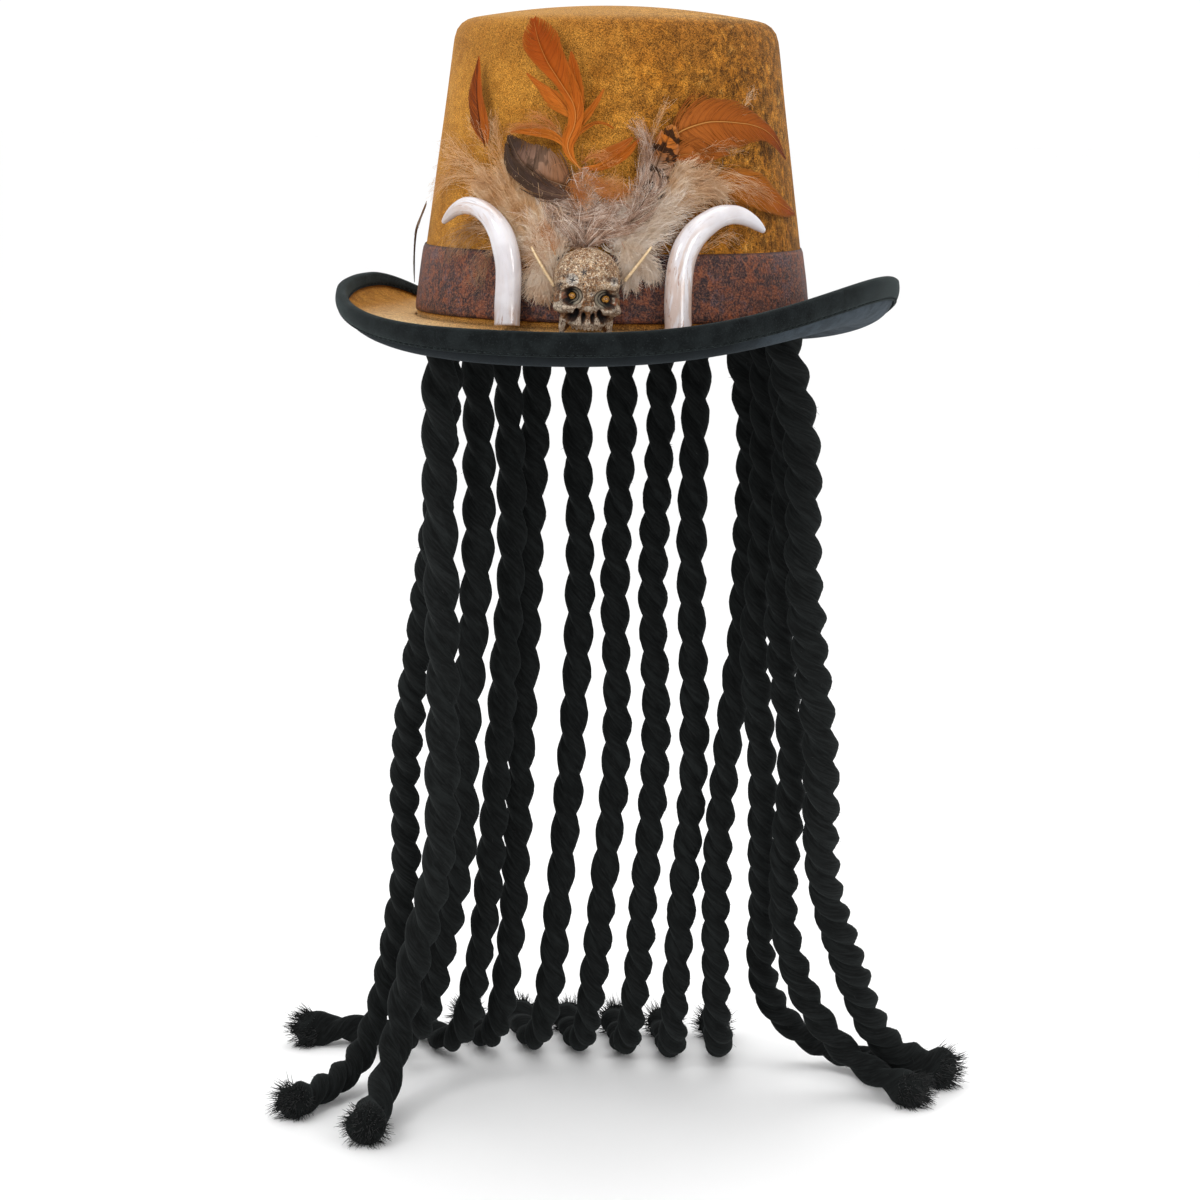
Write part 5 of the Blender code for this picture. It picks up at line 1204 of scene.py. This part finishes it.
def featherFinish(name, plan):
    # colours change along the shaft; streaks and bars follow the barbs, and the shaft has its own colour
    paint = Finish(name, Roughness=0.55, Specular_IOR_Level=plan.get("gloss", 0.07))
    along, across, tone = paint.mark("along"), paint.mark("across"), paint.mark("tone")
    cloud = paint.noise(paint.place(), 0.16, 4.0, 0.6)
    base = paint.ramp((along + (tone - 0.5) * 0.10 + (cloud - 0.5) * 0.20).held(), plan["along"])
    rows = [(paint.band(across, 0.55, 1.0) * 0.4, plan["edge"]),
            (paint.band(1.0 - tone, 0.45, 0.95) * 0.75, plan["deep"])]
    if "bars" in plan:
        count, code, power, blur = plan["bars"]
        wave = paint.node("ShaderNodeMath", {"operation": "SINE"},
                          {0: (along + across * 0.06 + (cloud - 0.5) * blur) * (count * 2 * math.pi)})
        rows.append((paint.band(wave, 0.0, 0.6) * power, code))
    rows.append((paint.band(0.0 - across, 0.05, 0.15) * 0.9, plan["quill"]))
    paint.join(paint.coats(base, *rows), "Base Color")
    return paint


def downFinish(name, colours, uneven=0.4):  # soft drifts of four close colours, paler towards the tips
    paint = Finish(name, Roughness=0.85, Sheen_Weight=0.12, Sheen_Roughness=0.5, Specular_IOR_Level=0.1)
    across, tone = paint.mark("across"), paint.mark("tone")
    cloud = paint.noise(paint.place(), 0.10, 4.0, 0.6)
    stops = [(0.14, colours[3]), (0.36, colours[0]), (0.58, colours[1]), (0.84, colours[2])]
    base = paint.ramp((tone * uneven + cloud * 1.1 - uneven / 2 - 0.06 + across * 0.10).held(), stops)
    paint.join(base, "Base Color")
    return paint


def makePlumage():
    # each feather is its vane and its leaves; each line of down swells and thins as a sine of its length
    for seed, (node, plan) in enumerate(feathers.items()):
        bundles = growBarbs(plan["rows"], {**vane, **plan["style"]}, 60 + seed)
        for k, (style, rows) in enumerate(plan.get("leaves", ())):
            bundles += growBarbs(rows, {**leaf, **style}, 80 + seed * 10 + k)
        piece = makeStrands(node.replace("feather", "barbs"), bundles, featherFinish(node + "Barbs", plan))
        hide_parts(node)
    for seed, (node, plan) in enumerate(down.items()):
        bundles = []
        for k, (line, reach, count, *special) in enumerate(plan["plumes"]):
            share = np.linspace(0, 1, len(line))
            width = reach * (0.40 + 0.60 * np.sin(math.pi * np.clip(share * 0.9 + 0.14, 0, 1)))
            rows = [(*spot, w, w) for spot, w in zip(line, width)]
            style = {**fluff, **plan.get("style", {}), "barbs": count}
            for extra in special:
                style.update(extra)
            bundles += growBarbs(rows, style, 100 + seed * 20 + k)
            if special:
                continue
            over = {**style, **guard["style"], "barbs": max(guard["least"], round(count * guard["share"]))}
            wider = [(*spot, w * guard["wider"], w * guard["wider"]) for spot, w in zip(line, width)]
            bundles += growBarbs(wider, over, 400 + seed * 20 + k)
            if count > bed["least"]:
                under = {**style, **bed["style"], "barbs": round(count * bed["share"])}
                lower = [(*row[:2], row[2] - bed["lower"], *row[3:]) for row in rows]
                bundles += growBarbs(lower, under, 300 + seed * 20 + k)
        finish = downFinish(node + "Down", plan["colours"], plan.get("style", {}).get("uneven", 0.4))
        piece = makeStrands(node + "_strands", bundles, finish)
        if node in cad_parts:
            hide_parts(node)
    print("feathers and down")


# the hanging locks: diameter, length of a turn, and points of the route from inside the crown to the cut end
locks = {
    "lock_left_1": (19.0, 50, ((-81.6, -22, 7), (-82.5, -22, -12), (-84, -22, -47),
        (-84.5, -15, -110), (-85, -5, -175), (-87, 6, -235), (-88, 10, -254), (-89, 14, -278),
        (-94, 22, -301), (-101, 32, -325), (-110, 43, -353), (-117, 50, -378), (-121, 48, -402),
        (-123, 33, -419), (-124, 8, -427.4), (-123, -6, -427.4), (-122, -20, -427.4))),
    "lock_left_2": (17.0, 35, ((-85, 6, 7), (-85.4, 7, -12), (-88, 12, -50), (-94, 22, -105),
        (-105, 36, -165), (-114, 46, -220), (-119, 55, -265), (-119, 59, -283), (-119, 64, -306),
        (-123, 69, -329), (-128, 73, -352), (-133, 78, -375), (-139, 80, -397), (-144, 75, -414),
        (-150, 62, -425), (-161, 38, -428.4), (-171, 13, -428.4))),
    "lock_left_3": (18.0, 48, ((-77.3, 35.5, 7), (-77.2, 37, -12), (-76.5, 40, -55), (-76, 42, -115),
        (-79, 42, -175), (-84, 44, -230), (-84.5, 50, -280), (-88, 55, -299), (-93, 62, -320),
        (-98, 71, -341), (-104, 80, -361), (-109, 89, -381), (-116, 100, -400), (-125, 114, -416),
        (-137, 130, -426), (-155, 144, -427.9), (-177, 149, -427.9), (-197, 139, -427.9))),
    "lock_left_4": (16.5, 44, ((-66.2, 56, 7), (-66, 57.5, -12), (-64, 61, -60), (-62.5, 65, -130),
        (-67, 70, -195), (-72, 76, -260), (-78, 86, -325), (-80, 89, -340), (-84, 94, -362),
        (-89, 102, -383), (-94, 111, -403), (-101, 123, -421), (-113, 139, -428.6),
        (-127, 157, -428.6), (-140, 176, -428.6))),
    "lock_back_1": (16.5, 42, ((-50.8, 71.5, 7), (-51, 72.5, -12), (-53, 77, -60), (-57, 84, -150),
        (-61, 90, -240), (-66, 101, -325), (-67, 103, -341), (-70, 108, -366), (-74, 115, -391),
        (-80, 127, -413), (-89, 145, -428), (-101, 168, -428.6), (-111, 192, -428.6))),
    "lock_back_2": (16.5, 44, ((-31.5, 82.5, 7), (-31.5, 83, -12), (-32, 87, -60), (-30, 93, -150),
        (-34, 98, -240), (-41, 104, -325), (-43, 106, -342), (-45, 111, -367), (-49, 118, -391),
        (-54, 130, -414), (-63, 149, -428), (-72, 173, -428.6), (-80, 198, -428.6))),
    "lock_back_3": (16.5, 42, ((-10, 88, 7), (-10, 88.3, -12), (-8, 93, -60), (-12, 100, -150),
        (-10, 104, -240), (-17, 107, -325), (-19, 109, -342), (-21, 113, -367), (-25, 120, -391),
        (-29, 132, -413), (-36, 151, -428), (-44, 175, -428.6), (-52, 200, -428.6))),
    "lock_back_4": (16.5, 40, ((12, 88, 7), (12, 88.3, -12), (13, 92, -60), (9, 98, -150),
        (12, 103, -240), (6, 107, -325), (5, 109, -342), (3, 113, -367), (0, 119, -391),
        (-4, 131, -413), (-10, 151, -428), (-16, 175, -428.6), (-23, 200, -428.6))),
    "lock_back_5": (16.5, 44, ((33.5, 81.8, 7), (33.5, 82.5, -12), (32, 86, -60), (31, 92, -150),
        (34, 98, -240), (28, 105, -325), (27, 107, -342), (25, 111, -367), (23, 118, -392),
        (21, 130, -414), (17, 151, -428), (11, 176, -428.6), (5, 201, -428.6))),
    "lock_right_4": (16.5, 38, ((54.5, 67.5, 7), (55.5, 69, -12), (64, 75, -67), (61, 83, -138),
        (59.5, 87.5, -180), (53.5, 92, -228), (48, 98, -290), (47, 101, -306), (47, 105, -329),
        (46, 110, -352), (46, 117, -375), (46, 125, -398), (46, 138, -418), (44, 158, -428),
        (41, 182, -428.6), (35, 205, -428.6))),
    "lock_right_3": (17.0, 38, ((70, 48.5, 7), (71.5, 50, -12), (73, 55, -55), (73, 59, -125),
        (69, 62, -172), (72, 69, -215), (74, 80, -255), (73, 95, -298), (73, 104, -317),
        (72, 112, -334), (70, 124, -356), (70, 137, -377), (74, 150, -397), (84, 161, -414),
        (99, 166, -425), (115, 162, -428.4), (128, 152, -428.4), (139, 140, -428.4))),
    "lock_right_2": (17.0, 40, ((81.5, 25.5, 7), (82.5, 26.5, -12), (86.5, 36, -55), (87, 40, -100),
        (84, 42, -145), (87, 47, -190), (92, 57, -235), (88, 71, -280), (85, 89, -325),
        (87, 94, -341), (91, 101, -361), (98, 108, -381), (108, 115, -400), (123, 116, -416),
        (142, 113, -426), (160, 101, -428.4))),
    "lock_right_1": (20.0, 36, ((84, 1.5, 7), (86.5, 3, -12), (92, 6.5, -35), (97.5, 10, -68),
        (98, 14, -115), (101, 20, -160), (107, 28, -205), (109, 38, -245), (108, 53, -280),
        (109, 63, -298), (112, 76, -320), (118, 88, -341), (123, 100, -362), (129, 112, -384),
        (137, 126, -405), (152, 136, -422), (175, 140, -426.9))),
}
ply = {"spacing": 2.5, "easing": 50, "around": 28, "apart": 0.31, "thick": 0.69, "unevenTurns": (0.9, 1.1),
       "swell": (0.03, 17.0), "ripple": (0.015, 6.1),  # share of the size, and length of the wave over 6.3
       "flare": 0.22, "flareFrom": 16.0, "lip": (0.82, 0.45), "lipStep": (0.30, 0.46),
       "rough": ((0, 0.5, 0.21), (1, 1.3, 0.14))}  # step of the seed, scale, depth
fibres = {"fuzz": 144, "fuzzLength": (1.8, 4.6), "fuzzWidth": 0.55, "brush": 400, "brushLength": 9.5,
          "brushWidth": 1.3, "spikes": 40, "taper": (0.32, 0.26, 0.08)}
tableTop = studio["floor"] * 1000


def rovingFinish():  # soft black fibre: fine streaks that follow the twist
    paint = Finish("blackRoving", Roughness=0.9, Sheen_Weight=0.14, Sheen_Roughness=0.5,
                   Sheen_Tint=rgb("#7C8484"), Specular_IOR_Level=0.04)
    grain = paint.mark("grain", "Vector")
    streak = paint.noise(grain, 1.0, 5.0, 0.7, 0.4)
    wide = paint.noise(grain, 0.28, 3.0, 0.6, 0.3)
    base = paint.coats(
        "#0F1010",
        (paint.band(streak, 0.40, 0.66), "#1C1E1E"),
        (paint.band(wide, 0.52, 0.68) * 0.45, "#222525"))
    paint.join(base, "Base Color")
    paint.bump(streak + wide * 0.7, 0.5, 0.6)
    return paint


def fibreFinish():  # single fibres, each of a tone between two blacks
    paint = Finish("blackFibre", Roughness=0.9, Sheen_Weight=0.1, Sheen_Roughness=0.5,
                   Specular_IOR_Level=0.04)
    paint.join(paint.mix(paint.mark("tone"), "#090A0A", "#1F2222"), "Base Color")
    return paint


def lockFrames(path):  # tangents, and a side carried along without turning about them
    run = unit(np.gradient(path, axis=0))
    face = np.zeros_like(run)
    face[0] = unit(np.array([0.0, -1.0, 0.0]) - run[0] * -run[0][1])
    for k in range(1, len(run)):
        face[k] = unit(face[k - 1] - run[k] * (face[k - 1] @ run[k]))
    return run, face, np.cross(face, run)


def aboveTable(points, gap):  # nothing reaches below this far above the table
    return np.maximum(points, [-np.inf, -np.inf, tableTop + gap])


def makeLock(name, plan, seed, roving, fibre):
    # two plies twisted together: a section of two touching circles that turns as it goes down the path
    own = np.random.default_rng(seed)
    diameter, pitch, points = plan
    path = smoothLine(points, spacing=ply["spacing"])
    for _ in range(ply["easing"]):  # bends ease as in a limp rope: each point moves between its neighbours
        path[1:-1] = (path[:-2] + 2 * path[1:-1] + path[2:]) / 4
    run, face, beside = lockFrames(path)
    walked = np.concatenate([[0.0], np.cumsum(np.linalg.norm(np.diff(path, axis=0), axis=1))])
    length, rho = walked[-1], diameter / 2
    drift = np.cumsum(np.interp(walked, np.linspace(0, length, 9), own.uniform(*ply["unevenTurns"], 9)))
    twist = 2 * math.pi * drift * ply["spacing"] / pitch + own.uniform(0, fullTurn)
    theta = np.arange(ply["around"]) * 2 * math.pi / ply["around"]
    apart, thick = ply["apart"], ply["thick"]
    section = apart * np.abs(np.cos(theta)) + np.sqrt(thick**2 - (apart * np.sin(theta)) ** 2)
    swell = 0.985
    for (share, wave), start in ((ply["swell"], seed), (ply["ripple"], 0)):
        swell = swell + share * np.sin(walked / wave + start)
    loosened = np.clip((walked - length + ply["flareFrom"]) / ply["flareFrom"], 0, 1)  # the cut end spreads
    flared = 1 + ply["flare"] * np.sin(loosened * 2.4)
    roundness = loosened[:, None] * 0.8
    size = rho * (section[None] * (1 - roundness) + roundness * 0.96) * (swell * flared)[:, None]
    angle = theta[None] + twist[:, None]
    zero = 0 * angle
    grain = np.stack([np.cos(theta) * 6.0 + zero, np.sin(theta) * 6.0 + zero, walked[:, None] * 0.16 + zero],
                     axis=-1)
    size = size + sum(softNoise(grain, seed + step, scale) * depth for step, scale, depth in ply["rough"])
    size = np.minimum(size, rho * (1.08 + ply["flare"] * loosened)[:, None])
    ways = face[:, None] * np.cos(angle)[..., None] + beside[:, None] * np.sin(angle)[..., None]
    rings = path[:, None] + ways * size[..., None]
    lip, step = (np.array(ply[key])[:, None, None] for key in ("lip", "lipStep"))
    cap = path[-1] + (rings[-1] - path[-1]) * lip + run[-1] * rho * step
    head = path[0] + (rings[0] - path[0]) * 0.7 - run[0] * 0.4
    rings = aboveTable(np.concatenate([head[None], rings, cap]), 0.1)
    grain = np.concatenate([grain[:1], grain, grain[-1:], grain[-1:]])
    both, fans = poleFans(rings, len(rings), len(theta))
    marks = {"grain": np.concatenate([grain.reshape(-1, 3), grain[0, :1], grain[-1, :1]])}
    rope = makePiece(name + "_plies", both, gridQuads(len(rings), len(theta), closedColumns=True), roving,
                     tris=fans, marks=marks)
    # fuzz: short fibres that lift off the plies, and curl back a little towards their tips
    count = fibres["fuzz"]
    row, column = own.integers(8, len(path) - 6, count), own.integers(0, len(theta), count)
    start, outward = rings[1:][row, column], ways[row, column]
    lean = unit(run[row] * own.normal(0.6, 0.5, (count, 1))
                + np.cross(run[row], outward) * own.normal(0, 0.5, (count, 1))
                + outward * own.uniform(0.25, 0.8, (count, 1)))[:, None]
    u = np.linspace(0, 1, 3)[None, :, None]
    reach = own.uniform(*fibres["fuzzLength"], (count, 1, 1))
    outward = outward[:, None]
    fuzz = start[:, None] - outward * 0.5 + (lean * u - outward * 0.25 * u**2) * reach
    # brush: the cut end's fibres, spread in a ball; each leans to one of a few, so that spikes form
    count = fibres["brush"]
    polar, turn = np.arccos(own.uniform(-0.35, 1.0, count)), own.uniform(0, 2 * math.pi, count)
    outward = face[-1] * np.cos(turn)[:, None] + beside[-1] * np.sin(turn)[:, None]
    normal = run[-1] * np.cos(polar)[:, None] + outward * np.sin(polar)[:, None]
    base = path[-1] - run[-1] * rho * 0.45 + normal * rho * 0.98
    lean = unit(normal * 0.8 + run[-1] * 0.8 + own.normal(0, 0.26, (count, 3)))
    reach = fibres["brushLength"] * own.uniform(0.3, 1.0, (count, 1, 1))
    tuft = np.argmax(normal @ normal[:fibres["spikes"]].T, axis=1)
    gather = 0.45 * (base[tuft] - base)[:, None]
    brush = base[:, None] + lean[:, None] * reach * u + (gather + own.normal(0, 0.6, (count, 1, 3))) * u**2
    bundles = []
    for lines, size, palest in ((fuzz, fibres["fuzzWidth"], 0.7), (brush, fibres["brushWidth"], 1.0)):
        width = np.array([fibres["taper"]]) * size
        tone = own.uniform(0, palest, len(lines))
        bundles.append(strands(aboveTable(lines, 0.4), None, width, width, tone=tone))
    loose = makeStrands(name + "_fibres", bundles, fibre)
    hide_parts(name)
    length * 0.001
    diameter * 0.001
    print(name, round(length), "mm")


# making it all
makeCamera()
for lampName in ("key", "fill", "top", "low"):
    makeLight(lampName, studio[lampName])
world = bpy.data.worlds.new("air")
world.use_nodes = True
world.node_tree.nodes["Background"].inputs["Color"].default_value = (1.0, 1.0, 1.0, 1.0)
world.node_tree.nodes["Background"].inputs["Strength"].default_value = studio["air"]
scene.world = world
scene.view_settings.view_transform = "Standard"

roving, fibre = rovingFinish(), fibreFinish()
for lockSeed, (lockName, lockPlan) in enumerate(locks.items()):
    makeLock(lockName, lockPlan, 200 + lockSeed, roving, fibre)

velvet = velvetFinish()
felt = feltFinish("blackFelt", "#292F34", "#3A4249", "#566068")
makeCrown(velvet, felt)
makeLayer("brim_velvet", "brim", brim["seam"], brim["top"], velvet, 12)
makeLayer("brim_felt", "underbrim", -brim["under"], -brim["seam"], felt, 14)
makeBinding(bindingFinish())
makeBand(leatherFinish())
makeSkull(boneFinish(), eyeFinish())
makeHorns((ivoryFinish("ivoryLeft", "#A8968E", (0.02, 0.16, 0.5, 0.64)),
           ivoryFinish("ivoryRight", "#CBC9D0", (0.3, 0.7, 0.9, 0.95))), strawFinish())
makePlumage()

half, high = studio["floorHalf"], studio["floor"]
floorMesh = bpy.data.meshes.new("floor")
floorMesh.from_pydata([(-half, -half, high), (half, -half, high), (half, half, high), (-half, half, high)],
                      [], [(0, 1, 2, 3)])
floorPaint = Finish("paleFloor", Roughness=0.9, Base_Color=(0.955, 0.955, 0.955, 1.0))
floorMesh.materials.append(floorPaint.material)
floor = bpy.data.objects.new("floor", floorMesh)
scene.collection.objects.link(floor)
floor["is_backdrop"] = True

meshes = [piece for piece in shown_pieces() if piece.type == "MESH"]
triangles = {piece.name: sum(len(face.vertices) - 2 for face in piece.data.polygons) for piece in meshes}
most = max(triangles, key=triangles.get)
print("triangles", sum(triangles.values()), "most", most, triangles[most])
bpy.context.view_layer.update()
